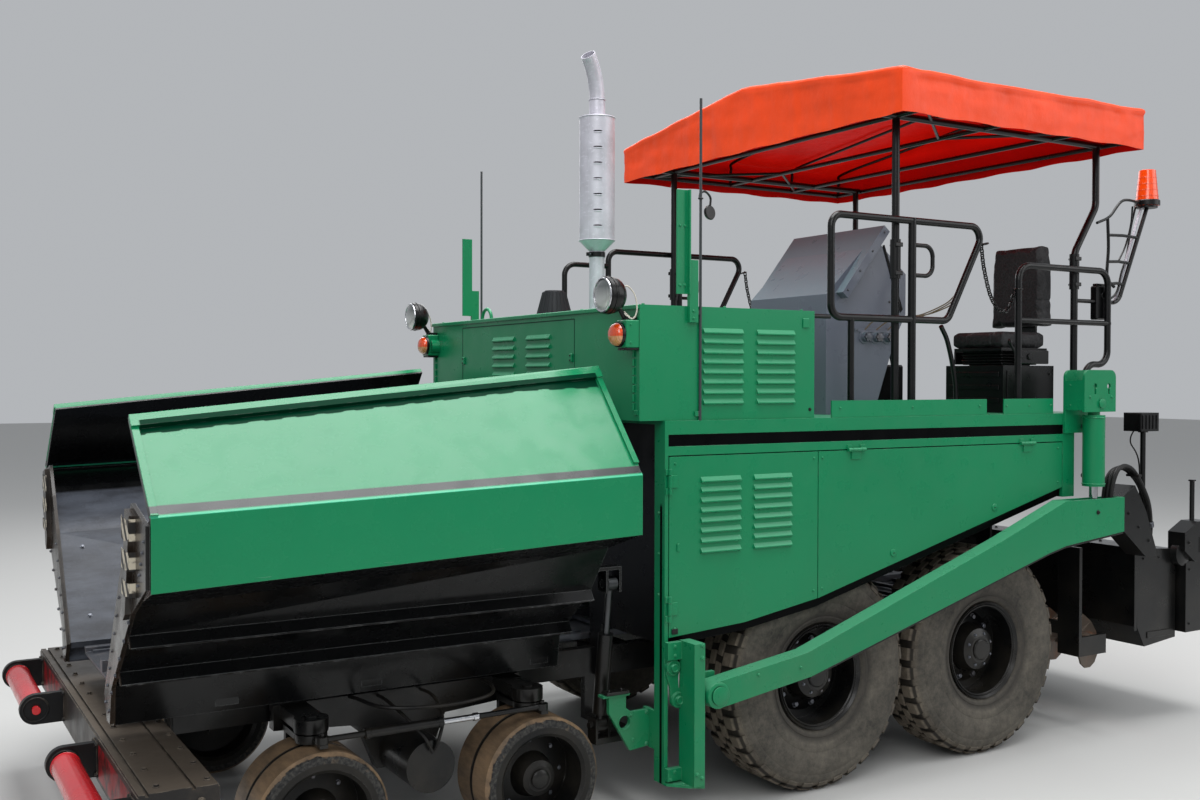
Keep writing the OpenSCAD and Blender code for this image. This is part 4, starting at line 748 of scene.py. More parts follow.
def canopy():
    x0, x1, half = -2.415, -0.35, 1.4              # rear end, front end, half width
    middle, hem, inset = -1.38, 3.629, 0.022         # inset: radius of the bend into the skirt
    nx, ny, rows, bend = 84, 110, 14, 3              # rows of the skirt, of which bend lie in the bend
    hoops = (-0.38, -0.6, -1.3, -1.9, -2.385)
    fold_run = 66.0                                  # noise length round the skirt
    braced, tight, loose = 3.735, 0.011, 0.026       # the cloth sinks in less below braced, near the frame

    def sag(x, y):
        span = [(a, b) for a, b in zip(hoops[1:], hoops) if a <= x <= b]
        dip = math.sin(math.pi * (x - span[0][0]) / (span[0][1] - span[0][0])) ** 2 if span else 0.0
        return dip * 0.016 * (1 - (abs(y) / 1.5) ** 4)

    verts, faces = [], []
    for i in range(nx + 1):
        for j in range(ny + 1):
            x = x0 + inset + (x1 - x0 - 2 * inset) * i / nx
            y = -half + inset + 2 * (half - inset) * j / ny
            p = Vector((x, y, canopy_height(y) - sag(x, y)))
            wave = noise.fractal(Vector((p.x * 1.6, p.y * 1.6, p.z * 0.9 + 7)), 1.0, 2.0, 3)
            ridge = noise.ridged_multi_fractal(Vector((p.x * 2.6 + 3, p.y * 2.6, p.z * 0.8)), 0.9, 2.1, 3, 1.0, 2.0)
            p.z += 0.8 * (wave * 0.01 + (ridge - 1.0) * 0.006) - 0.006
            verts.append(p)

    def at(i, j):
        return i * (ny + 1) + j
    for i in range(nx):
        for j in range(ny):
            faces.append([at(i, j), at(i + 1, j), at(i + 1, j + 1), at(i, j + 1)])
    loop = [at(i, 0) for i in range(nx)] + [at(nx, j) for j in range(ny)]
    loop += [at(i, ny) for i in range(nx, 0, -1)] + [at(0, j) for j in range(ny, 0, -1)]
    m = len(loop)
    previous = loop
    for row in range(1, rows + 1):
        current = []
        for q, index in enumerate(loop):
            top = verts[index]
            along = verts[loop[(q + 1) % m]] - verts[loop[q - 1]]
            out = Vector((along.y, -along.x, 0)).normalized()
            if out.dot(Vector((top.x - middle, top.y, 0))) < 0:
                out = -out
            if row <= bend:
                turn = (row / bend) * math.pi / 2
                off, z = inset * math.sin(turn), top.z - inset * (1 - math.cos(turn))
            else:
                t = (row - bend) / (rows - bend)
                z = (top.z - inset) + (hem - (top.z - inset)) * t
                s = q / m * fold_run
                fold = noise.fractal(Vector((s, 3.1, 0.4)), 1.0, 2.2, 3)
                crease = noise.fractal(Vector((s * 0.35, z * 9.0, 5.0)), 0.9, 2.1, 3)
                sharp = noise.ridged_multi_fractal(Vector((s * 0.8, z * 2.0, 9.0)), 0.8, 2.3, 4, 1.0, 2.0)
                room = tight if z < braced else loose
                push = -0.006 + fold * 0.013 * (0.5 + 0.5 * t) + crease * 0.008 - (sharp - 1.0) * 0.006
                off = inset - room * math.tanh(max(0.0, -push) / room)
                if row == rows:
                    z += 0.004 * math.sin(s * 2.1)
            current.append(len(verts))
            verts.append(Vector((top.x + out.x * off, top.y + out.y * off, z)))
        faces += [[previous[q], previous[(q + 1) % m], current[(q + 1) % m], current[q]] for q in range(m)]
        previous = current
    mesh = bpy.data.meshes.new("canopy_sheet")
    mesh.from_pydata([v + TO_CAD for v in verts], [], faces)
    outward(mesh, up=True)
    for key in ("tarp", "tarp_under"):
        mesh.materials.append(MATS[key])
    obj = new_object("canopy_sheet", mesh)
    thick = obj.modifiers.new("thick", "SOLIDIFY")
    thick.thickness, thick.offset, thick.material_offset = 0.0022, -1.0, 1
    settle(obj)
    obj.data.shade_smooth()
    obj.data.set_sharp_from_angle(angle=math.radians(60))
    attach(obj, "chassis", "canopy_cover")
    b = Build()
    for x in hoops:
        roof = [(x, y, canopy_height(y) - 0.034) for y in (1.3, 0.7, 0.06, 0)]
        b.curve([(x, 1.362, 3.69), (x, 1.355, 3.8)] + roof, 0.011, steps=5)
    for x in (-0.6, -1.9):
        b.tube([(x, 1.33, 3.685), (-1.3, 0.75, 3.685)], 0.01)
    b.twin()
    b.tube([(-0.375, 0, 4.0), (-2.39, 0, 4.0)], 0.012)
    hoops_obj = piece("canopy_hoops", b, "black_paint")
    b = Build()
    for x in (x0 + 0.02, x1 - 0.02):
        b.tube([(x, 1.38, z) for z in (3.64, 3.7, 3.78, 3.85)], 0.0025, 6)
    b.twin()
    piece("canopy_seams", b, "tarp")


# Seat

def seat_pad(name, node, lo, hi, seams, grow=0.022, channel=0.009, frames=16):
    """A foam pad: rounded box, swollen by cloth pressure, then sewn channels."""
    lo, hi = Vector(lo), Vector(hi)
    mid = (lo + hi) / 2
    half = (hi - lo) / 2 - Vector([grow] * 3) * 0.55
    mesh = bpy.data.meshes.new(name)
    bm = bmesh.new()
    bmesh.ops.create_cube(bm, size=2.0)
    bmesh.ops.subdivide_edges(bm, edges=bm.edges, cuts=7, use_grid_fill=True)
    for v in bm.verts:
        p = v.co.copy()
        p = p.lerp(p.normalized() * max(abs(c) for c in p), 0.1)
        v.co = mid + p * half + TO_CAD
    bm.to_mesh(mesh)
    bm.free()
    obj = new_object(name, mesh)
    remesh = obj.modifiers.new("remesh", "REMESH")
    remesh.mode, remesh.voxel_size = "VOXEL", 0.01
    settle(obj)
    start = [v.co.copy() for v in obj.data.vertices]
    cloth = obj.modifiers.new("cloth", "CLOTH")
    cloth.settings.use_pressure = True
    cloth.settings.uniform_pressure_force = 4.0
    cloth.settings.quality = 5
    cloth.settings.effector_weights.gravity = 0.0
    cloth.point_cache.frame_start, cloth.point_cache.frame_end = 1, frames
    for f in range(1, frames + 1):
        bpy.context.scene.frame_set(f)
    settle(obj)
    bpy.context.scene.frame_set(1)
    for v, s in zip(obj.data.vertices, start):
        move = v.co - s
        if move.length > grow:
            v.co = s + move.normalized() * grow
    for v in obj.data.vertices:
        p = v.co - TO_CAD
        for axis, place, depth in seams:
            gap = abs(p[axis] - place)
            v.co += (mid - p).normalized() * depth * math.exp(-(gap / channel) ** 2) * 0.8
        for i in range(3):
            v.co[i] = min(max(v.co[i], lo[i] + TO_CAD[i]), hi[i] + TO_CAD[i])
    sub = obj.modifiers.new("sub", "SUBSURF")
    sub.levels = sub.render_levels = 1
    settle(obj)
    obj.data.materials.clear()
    obj.data.materials.append(MATS["seat_fabric"])
    obj.data.polygons.foreach_set("material_index", [0] * len(obj.data.polygons))
    obj.data.shade_smooth()
    attach(obj, "chassis", node)
    return obj


def seat():
    cushion = seat_pad("seat_pad", "seat_cushion", (-2.005, 0.565, 2.4003), (-1.565, 1.035, 2.5),
                       [(1, 0.69, 0.012), (1, 0.91, 0.012), (0, -1.7, 0.01)])
    back = seat_pad("seat_backrest", "seat_back", (-2.0617, 0.565, 2.505), (-1.94, 1.035, 3.08),
                    [(1, 0.67, 0.01), (1, 0.93, 0.01), (2, 2.7, 0.01)])
    for v in back.data.vertices:
        up = max(0.0, (v.co.z - 2.86) / 0.22)
        v.co.y = 0.8 + (v.co.y - 0.8) * (1.0 - 0.22 * up * up)
    b = Build((-1.8, 0.8, 0))
    for k in (-1, 1):
        b.slab((-0.16, k * 0.236, 2.3), (0.14, k * 0.252, 2.385), c=0.008)
        b.rod((0.02, k * 0.252, 2.345), (0.02, k * 0.262, 2.345), 0.02, 16)
        b.slab((0.18, k * 0.2302 - 0.002, 2.03), (0.2, k * 0.2362, 2.26), c=0.002)
    for row in range(5):
        z, reach = 2.296 + row * 0.018, 0.16 + 0.01 * (row % 2)
        b.slab((-reach, -0.16, z), (reach, 0.16, z + 0.014), c=0.006)
    for z in (2.06, 2.14, 2.22):
        b.slab((0.2302, -0.2, z), (0.236, 0.2, z + 0.03), c=0.004)
    b.bolts(grid(-0.19, 0.2302, (2.05, 2.24)), Y, 0.016)
    b.curve([(0.1, 0.262, 2.34), (0.17, 0.275, 2.36), (0.22, 0.275, 2.42)], 0.007, steps=6)
    b.turned((0.22, 0.275, 2.415), (0.3, 0, 1), [(0.006, 0), (0.014, 0.012), (0.012, 0.03), (0.004, 0.036)], 12)
    piece("seat_trim", b, "black_paint")


# Hopper

def wing_trim():
    b = Build()
    for z, tall in ((1.625, 0.042), (1.505, 0.036), (1.395, 0.028)):
        b.plate([(1.136, z - tall), (1.2, z - tall * 1.2), (1.286, z - tall * 0.8), (1.284, z + tall),
                 (1.22, z + tall * 0.8), (1.138, z + tall * 1.1)], 3.5298, 3.5314, "yz")
        b.slab((3.5052, 1.2898, z - tall), (3.53, 1.2912, z + tall), c=0.0004)
    b.bolts([(3.506, 1.455 - 0.0294 * t, 1.6 - 0.045 * t) for t in range(5)], X, 0.012, 1)
    b.bolts([(3.506, y, z) for y, z in ((1.15, 1.25), (1.05, 1.16), (0.95, 1.07), (0.85, 0.98), (0.76, 0.89),
                                        (0.7, 0.8), (0.62, 0.82))], X, 0.014, 1)
    b.bolts([(3.506, 0.66 + 0.055 * t, 0.9 + 0.083 * t) for t in range(6)], X, 0.012, 1)
    pair("wing_marks_{}", b, ["hazard", "worn_steel"], "wing_{}")

    def rise(x):
        return WING_LOW[0] * ((x - WING_REAR) / (WING_FRONT - WING_REAR) - 1)
    b = Build()
    for x in [1.46 + 0.32 * t for t in range(7)]:
        b.bolts([(x, 0.659, 0.966), (x, 0.904, 1.292 + rise(x))], (0, -0.8, 0.6), 0.018)
    for x in [1.55 + 0.5 * i for i in range(4)]:
        b.slab((x, 1.4995, 1.42 + rise(x)), (x + 0.06, 1.5002, 1.424 + rise(x)), 1)
    # Thin rods along the lower edges of the wing's ribs: painted highlights.
    for y, z in ((1.0735, 1.1265), (0.8595, 0.9335), (1.0185, 1.1515)):
        b.tube([(1.365 + 0.05 * i, y, z) for i in range(43)], 0.0032, 6, 2)
    pair("wing_bolts_{}", b, ["worn_steel", "green_paint", "rib_highlight"], "wing_{}")


def push_beam_trim():
    b = Build()
    for x, z in ((3.262, 0.6572), (3.45, 0.6602)):
        b.bolts([(x, 0.22 + 0.23 * t, z) for t in range(6)], Z, 0.022)
    for y in (0.488, 1.326):
        for centre in grid(3.66, (y - 0.001, y + 0.037), 0.55):
            b.ring(centre, Y, 0.058, 0.005, 32)
        b.bolts(grid(3.532, (y - 0.02, y + 0.056), (0.49, 0.62)), X)
    b.bolts(grid((3.3, 3.4), 1.4402, (0.5, 0.6)), Y, 0.024)
    b.slab((3.24, 1.4398, 0.47), (3.52, 1.446, 0.486), c=0.002)
    b.twin()
    piece("push_beam_trim", b, "beam_steel")
    b = Build()
    b.turned((3.66, 1.3795, 0.55), Y, [(0.017, 0), (0.017, 0.005), (0.012, 0.009), (0.003, 0.01)], 18)
    for y in (0.558, 1.292):
        b.ring((3.66, y, 0.55), Y, 0.0585, 0.003, 32, 6)
    pair("roller_trim_{}", b, "red_paint", "push_roller_{}")


# Hood, lamps and exhaust

def hood_trim():
    b = Build()
    for i in range(7):
        b.rod((1.205, 1.19, 2.05 + i * 0.043), (1.205, 1.19, 2.086 + i * 0.043), 0.007, 10)
    for z in (2.04, 2.36):
        b.slab((1.2, 1.195, z - 0.012), (1.206, 1.225, z + 0.012), c=0.002)
    b.slab((1.2, 1.15, 2.352), (1.276, 1.237, 2.484), c=0.004)
    b.slab((1.2, 1.152, 2.34), (1.272, 1.235, 2.3515), 2)
    b.slab((0.15, 1.2375, 2.47), (0.192, 1.246, 2.52))
    b.slab((0.055, 1.135, 2.525), (0.125, 1.165, 2.555), 2, 0.004)
    b.rod((-0.075, 1.15, 2.54), (0.112, 1.15, 2.54), 0.012, 10, 2)
    b.bolts(grid(1.25, 1.2365, (2.375, 2.462)), Y, 0.01)
    b.bolts(grid((0.945, 0.972), 1.2464, (2.66, 2.95)), Y, 0.012)
    b.bolts(grid(0.9, 1.2605, (2.5, 2.535)), Y, 0.012)
    b.bolt((0.14, 1.238, 2.045), Y, 0.014, 2)
    b.bolts(grid((0.16, 0.66, 1.15), (0.6, 1.19), 2.5603), Z, 0.016)
    b.twin()
    for y in (-0.78, 0.61):
        b.slab((1.1995, y - 0.003, 2.03), (1.2012, y + 0.003, 2.515), 1, 0.0004)
    b.slab((1.1995, -0.78, 2.512), (1.2012, 0.61, 2.518), 1, 0.0004)
    b.slab((1.199, -1.236, 2.538), (1.212, 1.236, 2.5595))
    for y in (-0.755, 0.585):
        b.slab((1.2, y - 0.012, 2.29), (1.212, y + 0.012, 2.335))
        b.bolts(grid(1.211, y, (2.3, 2.325)), X, 0.01, 2)
    b.slab((0.52, -0.92, 2.5603), (0.7, -0.8, 2.572), 2)
    b.slab((0.9, 0.3, 2.5603), (1.1, 0.38, 2.568), 2)
    piece("hood_trim", b, ["green_paint", "seam_green", "black_paint"])


def lamps():
    b = Build()
    b.turned((1.3775, 1.19, 2.6), X, [(0.074, 0), (0.068, 0.006), (0.045, 0.011), (0.012, 0.013)], 36)
    b.ring((1.3785, 1.19, 2.6), X, 0.079, 0.0055, 40, 8, 1)
    b.ring((1.3485, 1.19, 2.6), X, 0.0885, 0.003, 40, 6, 2)
    b.slab((1.33, 1.178, 2.512), (1.352, 1.202, 2.522), 2)
    pair("headlamp_glass_{}", b, ["head_glass", "rod_chrome", "black_paint"])
    b = Build()
    b.turned((1.272, 1.178, 2.415), X, [(0.052, 0), (0.0605, 0.004), (0.0605, 0.018), (0.052, 0.02)], 40, 1)
    b.turned((1.288, 1.178, 2.415), X, [(0.0555, 0), (0.0545, 0.012), (0.048, 0.024), (0.036, 0.033), (0.018, 0.039),
                                        (0.005, 0.04)], 40)
    pair("signal_trim_{}", b, ["signal_lens", "black_paint"], smooth=50)
    b = Build()
    b.curve([(1.275, 1.185, 2.53), (1.235, 1.225, 2.49), (1.215, 1.236, 2.53), (1.225, 1.236, 2.6),
             (1.26, 1.225, 2.645), (1.285, 1.21, 2.63)], 0.004, 6, steps=6)
    b.curve([(1.26, 1.19, 2.525), (1.235, 1.2, 2.5), (1.215, 1.215, 2.475), (1.215, 1.215, 2.44)], 0.0045, 6,
            steps=6)
    pair("lamp_wires_{}", b, "wire_white")
    b = Build()
    b.slab((-2.674, 1.075, 1.875), (-2.668, 1.195, 1.985), 1, 0.004)
    b.turned((-2.8495, 1.135, 1.93), -X, [(0.05, 0), (0.05, 0.012), (0.042, 0.016), (0.01, 0.022)], 32)
    b.ring((-2.862, 1.135, 1.93), X, 0.05, 0.004, 32, 6, 2)
    for i in range(5):
        b.slab((-2.835 + i * 0.035, 1.2, 1.885), (-2.822 + i * 0.035, 1.205, 1.975), 1, 0.001)
    b.slab((-2.8, 1.11, 1.86), (-2.76, 1.16, 1.872), 1, 0.002)
    b.curve([(-2.76, 1.1, 1.9), (-2.755, 1.06, 1.8), (-2.775, 1.112, 1.65), (-2.775, 1.112, 1.2)], 0.005, 6, 1)
    b.bolts([(-2.8, 1.1, 1.135), (-2.8, 1.17, 1.135), (-2.755, 1.17, 1.135)], Z, 0.014, 1)
    pair("work_lamp_glass_{}", b, ["lamp_glass", "black_paint", "rod_chrome"], "screed_unit")
    b = Build((-2.85, 1.1, 3.3453))
    b.turned((0, 0, 0), Z, [(0.08, 0), (0.08, 0.03), (0.074, 0.036), (0.07, 0.036)], 36)
    for h in (0.06, 0.1, 0.14, 0.18):
        b.ring((0, 0, h), Z, 0.0752 - h * 0.098, 0.0016, 36, 6, 1)
    b.turned((0, 0, 0.2295), Z, [(0.05, 0), (0.046, 0.003), (0.012, 0.004)], 24, 1)
    piece("beacon_trim", b, ["black_paint", "amber_lens"])


def exhaust_trim():
    b = Build((0.64, -0.1, 0))
    b.turned((0, 0, 2.925), Z, [(0.0455, 0), (0.05, 0.002), (0.05, 0.03), (0.0455, 0.032)], 32, 1)
    b.slab((0.045, 0, 2.93), (0.075, 0.016, 2.952), 1, 0.002)
    b.rod((0.062, -0.012, 2.941), (0.062, 0.03, 2.941), 0.005, 8, 2)
    for z in (3.024, 3.748):
        b.ring((0, 0, z), Z, 0.1055, 0.0035, 48, 6)
    a = math.radians(62)
    out = Vector((math.cos(a), math.sin(a), 0))
    across = Z.cross(out)
    for i in range(7):
        for dz, slot in ((0.004, 3), (-0.004, 0)):
            centre = out * 0.105 + Z * (3.1 + i * 0.092 + dz)
            slit = [centre + across * s * 0.026 - out * 0.0034 * s * s for s in (-1, -0.6, -0.2, 0.2, 0.6, 1)]
            b.tube(slit, 0.0042, 8, slot, taper=[0.35, 0.9, 1, 1, 0.9, 0.35])
    seam = Vector((math.cos(math.radians(30)), math.sin(math.radians(30)), 0)) * 0.105
    b.slab(seam + Vector((-0.002, -0.002, 3.03)), seam + Vector((0.001, 0.001, 3.74)), c=0.0008)
    b.ring((0, 0, 3.856), Z, 0.0482, 0.003, 32, 6)
    b.bolts([(0.07 * math.cos(q), 0.07 * math.sin(q), 2.5723) for q in (0.8, 2.4, 3.9, 5.5)], Z, 0.014, 1)
    piece("exhaust_trim", b, ["silver_steel", "black_paint", "worn_steel", "dark_gap"])
    b = Build((0.72, -0.48, 0))
    for low, high in zip(circle((0, 0, 2.604), X, Y, 0.1065, 20), circle((0, 0, 2.735), X, Y, 0.0715, 20)):
        b.tube([low, high], 0.0035, 6)
    b.ring((0, 0, 2.5965), Z, 0.119, 0.004, 40, 6)
    b.turned((0, 0, 2.739), Z, [(0.062, 0), (0.058, 0.008), (0.02, 0.011)], 32)
    piece("cleaner_ribs", b, "dark_plastic")


# Deck

def link_chain(b, points, size=0.021, wire=0.0042):
    """Welded chain along a hanging path, every second link turned by a quarter."""
    pts = smooth_path(points, 10)
    run, marks, step = 0.0, [], size * 1.25
    for p, q in zip(pts, pts[1:]):
        seg = (q - p).length
        while run < seg:
            marks.append((p.lerp(q, run / seg), (q - p).normalized()))
            run += step
        run -= seg
    for i, (p, d) in enumerate(marks):
        loop = circle(p, d, side_axes(d)[1 if i % 2 else 2] * 0.55, size, 12)
        rings = []
        for j, c in enumerate(loop):
            t = (loop[(j + 1) % 12] - loop[j - 1]).normalized()
            o = (c - p).normalized()
            o = (o - t * o.dot(t)).normalized()
            rings.append(circle(c, o, t.cross(o), wire, 5))
        b.skin(rings, closed=True)


def deck_trim():
    b = Build()
    link_chain(b, [(-1.262, 1.128, 2.985), (-1.285, 1.128, 2.86), (-1.34, 1.13, 2.7), (-1.42, 1.13, 2.615),
                   (-1.5, 1.13, 2.63), (-1.545, 1.13, 2.74)])
    b.ring((-1.262, 1.15, 2.998), (0.3, 0, 1), 0.023, 0.005, 20, 6)
    b.ring((-1.56, 1.15, 2.745), Z, 0.023, 0.005, 20, 6)
    pair("rail_chain_{}", b, "black_paint")
    b = Build()
    for x in (-0.68, -0.225, -1.56, -2.17):
        b.turned((x, 1.15, 2.0002), Z, [(0.042, 0), (0.042, 0.006), (0.03, 0.01)], 20)
        b.bolts(grid((x - 0.033, x + 0.033), 1.15, 2.006), Z, 0.01)
    for x in (-0.6, -2.13):
        b.turned((x, 1.1, 2.0002), Z, [(0.052, 0), (0.052, 0.006), (0.038, 0.01)], 20)
        for z in (2.8, 2.96):
            b.rod((x, 1.068, z), (x, 1.062, z), 0.009, 10)
            b.slab((x - 0.028, 1.124, z - 0.012), (x + 0.028, 1.134, z + 0.012))
    for x0, x1 in ((-1.185, -0.005), (-1.76, -1.33)):
        b.bolts([(x0 + (x1 - x0) * t, 1.246, 2.05) for t in (0.05, 0.5, 0.95)], Y, 0.012, 1)
    b.slab((-2.4, 1.128, 2.55), (-2.385, 1.172, 2.57))
    b.slab((-2.43, 1.07, 2.585), (-2.32, 1.125, 2.8), c=0.008)
    b.rod((-2.375, 1.125, 2.74), (-2.375, 1.133, 2.74), 0.018, 14)
    b.slab((-2.42, 1.08, 2.8), (-2.33, 1.115, 2.815), c=0.004)
    pair("rail_feet_{}", b, ["black_paint", "green_paint"])
    b = Build()
    b.curve([(-2.345, 1.1, 3.2), (-2.47, 1.1, 3.25), (-2.6, 1.1, 3.36), (-2.775, 1.1, 3.362)], 0.009)
    b.curve([(-2.45, 1.1, 3.24), (-2.46, 1.1, 3.05), (-2.45, 1.1, 2.86), (-2.52, 1.1, 2.8)], 0.01)
    b.curve([(-2.7, 1.1, 3.33), (-2.74, 1.06, 3.22), (-2.7, 1.05, 3.08), (-2.62, 1.06, 2.98)], 0.006)
    for z, x0, x1 in ((3.13, -2.455, -2.755), (2.96, -2.455, -2.672), (2.82, -2.49, -2.605)):
        b.tube([(x0, 1.1, z), ((x0 + x1) / 2, 1.1, z + 0.006), (x1, 1.1, z)], 0.01)
    b.curve([(-2.8, 1.05, 3.34), (-2.78, 1.03, 3.2), (-2.7, 1.06, 3.02), (-2.62, 1.08, 2.9), (-2.55, 1.09, 2.76),
             (-2.4, 1.09, 2.68)], 0.007)
    b.ring((-2.096, 1.1, 1.97), X, 0.001, 0.0008, 8, 4)     # a pinhead by the deck's edge
    piece("beacon_ladder", b, "black_paint")
    b = Build()
    b.curve([(-2.53, 1.075, 2.7), (-2.56, 1.075, 2.72), (-2.64, 1.075, 2.9), (-2.8, 1.075, 3.28),
             (-2.82, 1.085, 3.334)], 0.009)
    b.slab((-2.53, 1.068, 2.683), (-2.42, 1.075, 2.717))
    b.bolts(grid((-2.44, -2.5), 1.1125, 2.7), Y, 0.014, 1)
    piece("stalk_brace", b, ["silver_steel", "black_paint"])
    b = Build()
    b.curve([(0.85, 1.236, 3.09), (0.83, 1.215, 3.12), (0.79, 1.2, 3.135), (0.755, 1.195, 3.11),
             (0.755, 1.195, 3.07)], 0.006, steps=6)
    b.turned((0.755, 1.2, 3.035), (0.2, -0.97, -0.1),
             [(0.034, 0), (0.038, 0.006), (0.034, 0.016), (0.012, 0.022)], 28)
    b.ring((0.85, 1.246, 3.09), Z, 0.01, 0.004, 16, 6)
    piece("rod_mirror", b, "black_paint")
    b = Build()
    b.ring((-2.192, 1.18, 1.985), (0.25, 1, 0), 0.052, 0.01, 36)
    b.slab((-2.19, 1.165, 2.0), (-2.168, 1.195, 2.045))
    piece("hanging_ring", b, "black_paint")


def console_trim():
    b = Build()
    gauges = (-0.62, -0.71, -0.8)
    for x in gauges:
        b.turned((x, 0.862, 2.45), Y, [(0.022, 0), (0.022, 0.01), (0.012, 0.014)], 18, 1)
        for p in circle((x, 0.861, 2.45), X, Z, 0.021, 6):
            b.rod(p, p + Y * 0.013, 0.008, 8, 1)
        b.turned((x, 0.8302, 2.45), Y, [(0.04, 0), (0.04, 0.004), (0.036, 0.006)])
    b.slab((-0.875, 0.8302, 2.478), (-0.545, 0.836, 2.502), c=0.002)
    b.bolts(grid((-0.56, -0.86), 0.836, 2.49), Y, 0.01, 1)
    for t in (0.06, 0.35, 0.65, 0.94):
        x, z = -0.42 - 0.32 * t, 2.69 + 0.393 * t
        b.bolt((x, 0.8902, z), Y, 0.011, 1)
        b.bolt((x, 0.0798, z), -Y, 0.011, 1)
    b.plate([(-0.905, 2.6), (-0.76, 2.99), (-0.775, 2.995), (-0.925, 2.62)], 0.8302, 0.834, slot=2)
    b.bolts(grid(-0.82, 0.8302, (2.58, 2.66)), Y, 0.012, 1)
    b.slab((-0.3298, 0.3, 2.1), (-0.322, 0.67, 2.6))
    b.bolts(grid(-0.322, (0.32, 0.65), (2.12, 2.58)), X, 0.012, 1)
    for x in (-0.4, -0.64):
        b.slab((x - 0.03, 0.8302, 2.0005), (x + 0.03, 0.86, 2.012), c=0.002)
        b.turned((x, 0.846, 2.03), Y, [(0.014, 0), (0.014, 0.012), (0.006, 0.016)], 14, 1)
    piece("console_trim", b, ["grey_paint", "worn_steel", "dark_gap"])
    b = Build()
    rng = random.Random(7)
    for i, x in enumerate(gauges):
        dz = rng.uniform(-0.02, 0.02)
        b.curve([(x, 0.8305, 2.49), (x - 0.05, 0.9, 2.56 + dz), (-0.93, 0.98, 2.58 + dz * 0.5),
                 (-1.02, 1.08, 2.62 + i * 0.012), (-1.055, 1.128, 2.66 + i * 0.02)], 0.004, 6)
    piece("console_wires", b, "wire_tan")
    b = Build()
    b.slab((-1.55, -0.12, 2.0004), (-1.3, 0.22, 2.3), c=0.012)
    b.turned((-1.42, 0.05, 2.2995), Z, [(0.1, 0), (0.1, 0.03), (0.085, 0.06), (0.05, 0.075)], 28)
    b.curve([(-1.25, 0.95, 2.0), (-1.24, 0.95, 2.2), (-1.18, 0.95, 2.42), (-1.1, 0.97, 2.52)], 0.014)
    b.curve([(-1.02, 0.7, 2.0), (-1.0, 0.7, 2.18), (-0.96, 0.7, 2.34)], 0.009, steps=6)
    b.turned((-0.958, 0.7, 2.335), (0.1, 0, 1), [(0.01, 0), (0.02, 0.015), (0.018, 0.04), (0.006, 0.05)], 16)
    piece("deck_box", b, "black_paint")


# Sides

def tow_point_trim():
    b = Build()
    for x, z in ((0.934, 0.92), (0.934, 0.86), (0.964, 0.3), (0.934, 0.28)):
        b.bolt((x, 1.39, z), Y, 0.018)
    for x, z in ((1.022, 0.8), (0.992, 0.64)):
        b.ring((x, 1.2885, z), Y, 0.017, 0.003, 24, 6)
        b.ring((x, 1.2747, z), Y, 0.034, 0.003, 28, 6)
    for x, z in ((1.02, 0.905), (1.02, 0.86), (1.02, 0.295), (1.045, 0.26)):
        b.bolt((x, 1.282, z), Y, 0.014)
    for x, z in ((1.075, 0.4), (1.075, 0.555), (1.155, 0.43), (1.165, 0.555)):
        b.bolt((x, 1.114, z), Y, 0.016)
    b.bolts([(1.04, 1.19, 0.24), (1.0, 1.33, 0.24), (0.95, 1.355, 0.24)], Z, 0.016)
    b.turned((0.845, 1.4118, 0.67), Y, [(0.045, 0), (0.045, 0.005), (0.028, 0.009), (0.01, 0.01)], 28)
    b.ring((1.203, 1.115, 0.522), Y, 0.035, 0.003, 32, 6)
    b.slab((1.19, 1.082, 0.6673), (1.32, 1.142, 0.684), 1, 0.004)
    b.bolts(grid((1.22, 1.29), 1.112, 0.684), Z, 0.016, 1)
    b.bolts(grid((-2.095, -1.895), 1.402, 2.1), Y, 0.014)
    b.turned((-2.0, 1.4098, 2.06), Y, [(0.028, 0), (0.028, 0.004), (0.016, 0.007)], 24)
    b.bolts(grid(-1.85, 1.3, (2.05, 2.17)), X, 0.014)
    b.bolts(grid(1.0605, 1.2, (1.55, 1.35, 1.15)), X, 0.012)
    pair("tow_point_bolts_{}", b, ["green_paint", "black_paint"])


def door_trim():
    b = Build()
    b.bolts([(x, 1.2502, z) for x, z in ((1.0, 1.79), (0.12, 1.79), (1.0, 0.985), (0.12, 1.095))], Y, 0.011)
    b.slab((0.975, 1.2498, 1.36), (0.99, 1.256, 1.4), c=0.002)
    b.slab((0.985, 1.2498, 0.958), (1.02, 1.258, 0.985), 1, 0.002)
    pair("door_front_trim_{}", b, ["green_paint", "black_paint"], "door_{}_front")
    b = Build()
    b.bolts([(x, 1.2502, z) for x, z in ((0.06, 1.79), (-1.8, 1.79), (0.06, 1.1), (-1.8, 1.585))], Y, 0.011)
    for x in (-0.45, -1.25):
        z = 1.112 + (0.09 - x) / 1.93 * 0.501      # the lock stands over the door's slanting lower edge
        b.turned((x, 1.2498, z), Y, [(0.022, 0), (0.022, 0.004), (0.016, 0.006), (0.006, 0.0065)], 20)
        b.slab((x - 0.008, 1.2558, z - 0.002), (x + 0.008, 1.2568, z + 0.002), 1, 0.0004)
    pair("door_rear_trim_{}", b, ["green_paint", "dark_gap"], "door_{}_rear")


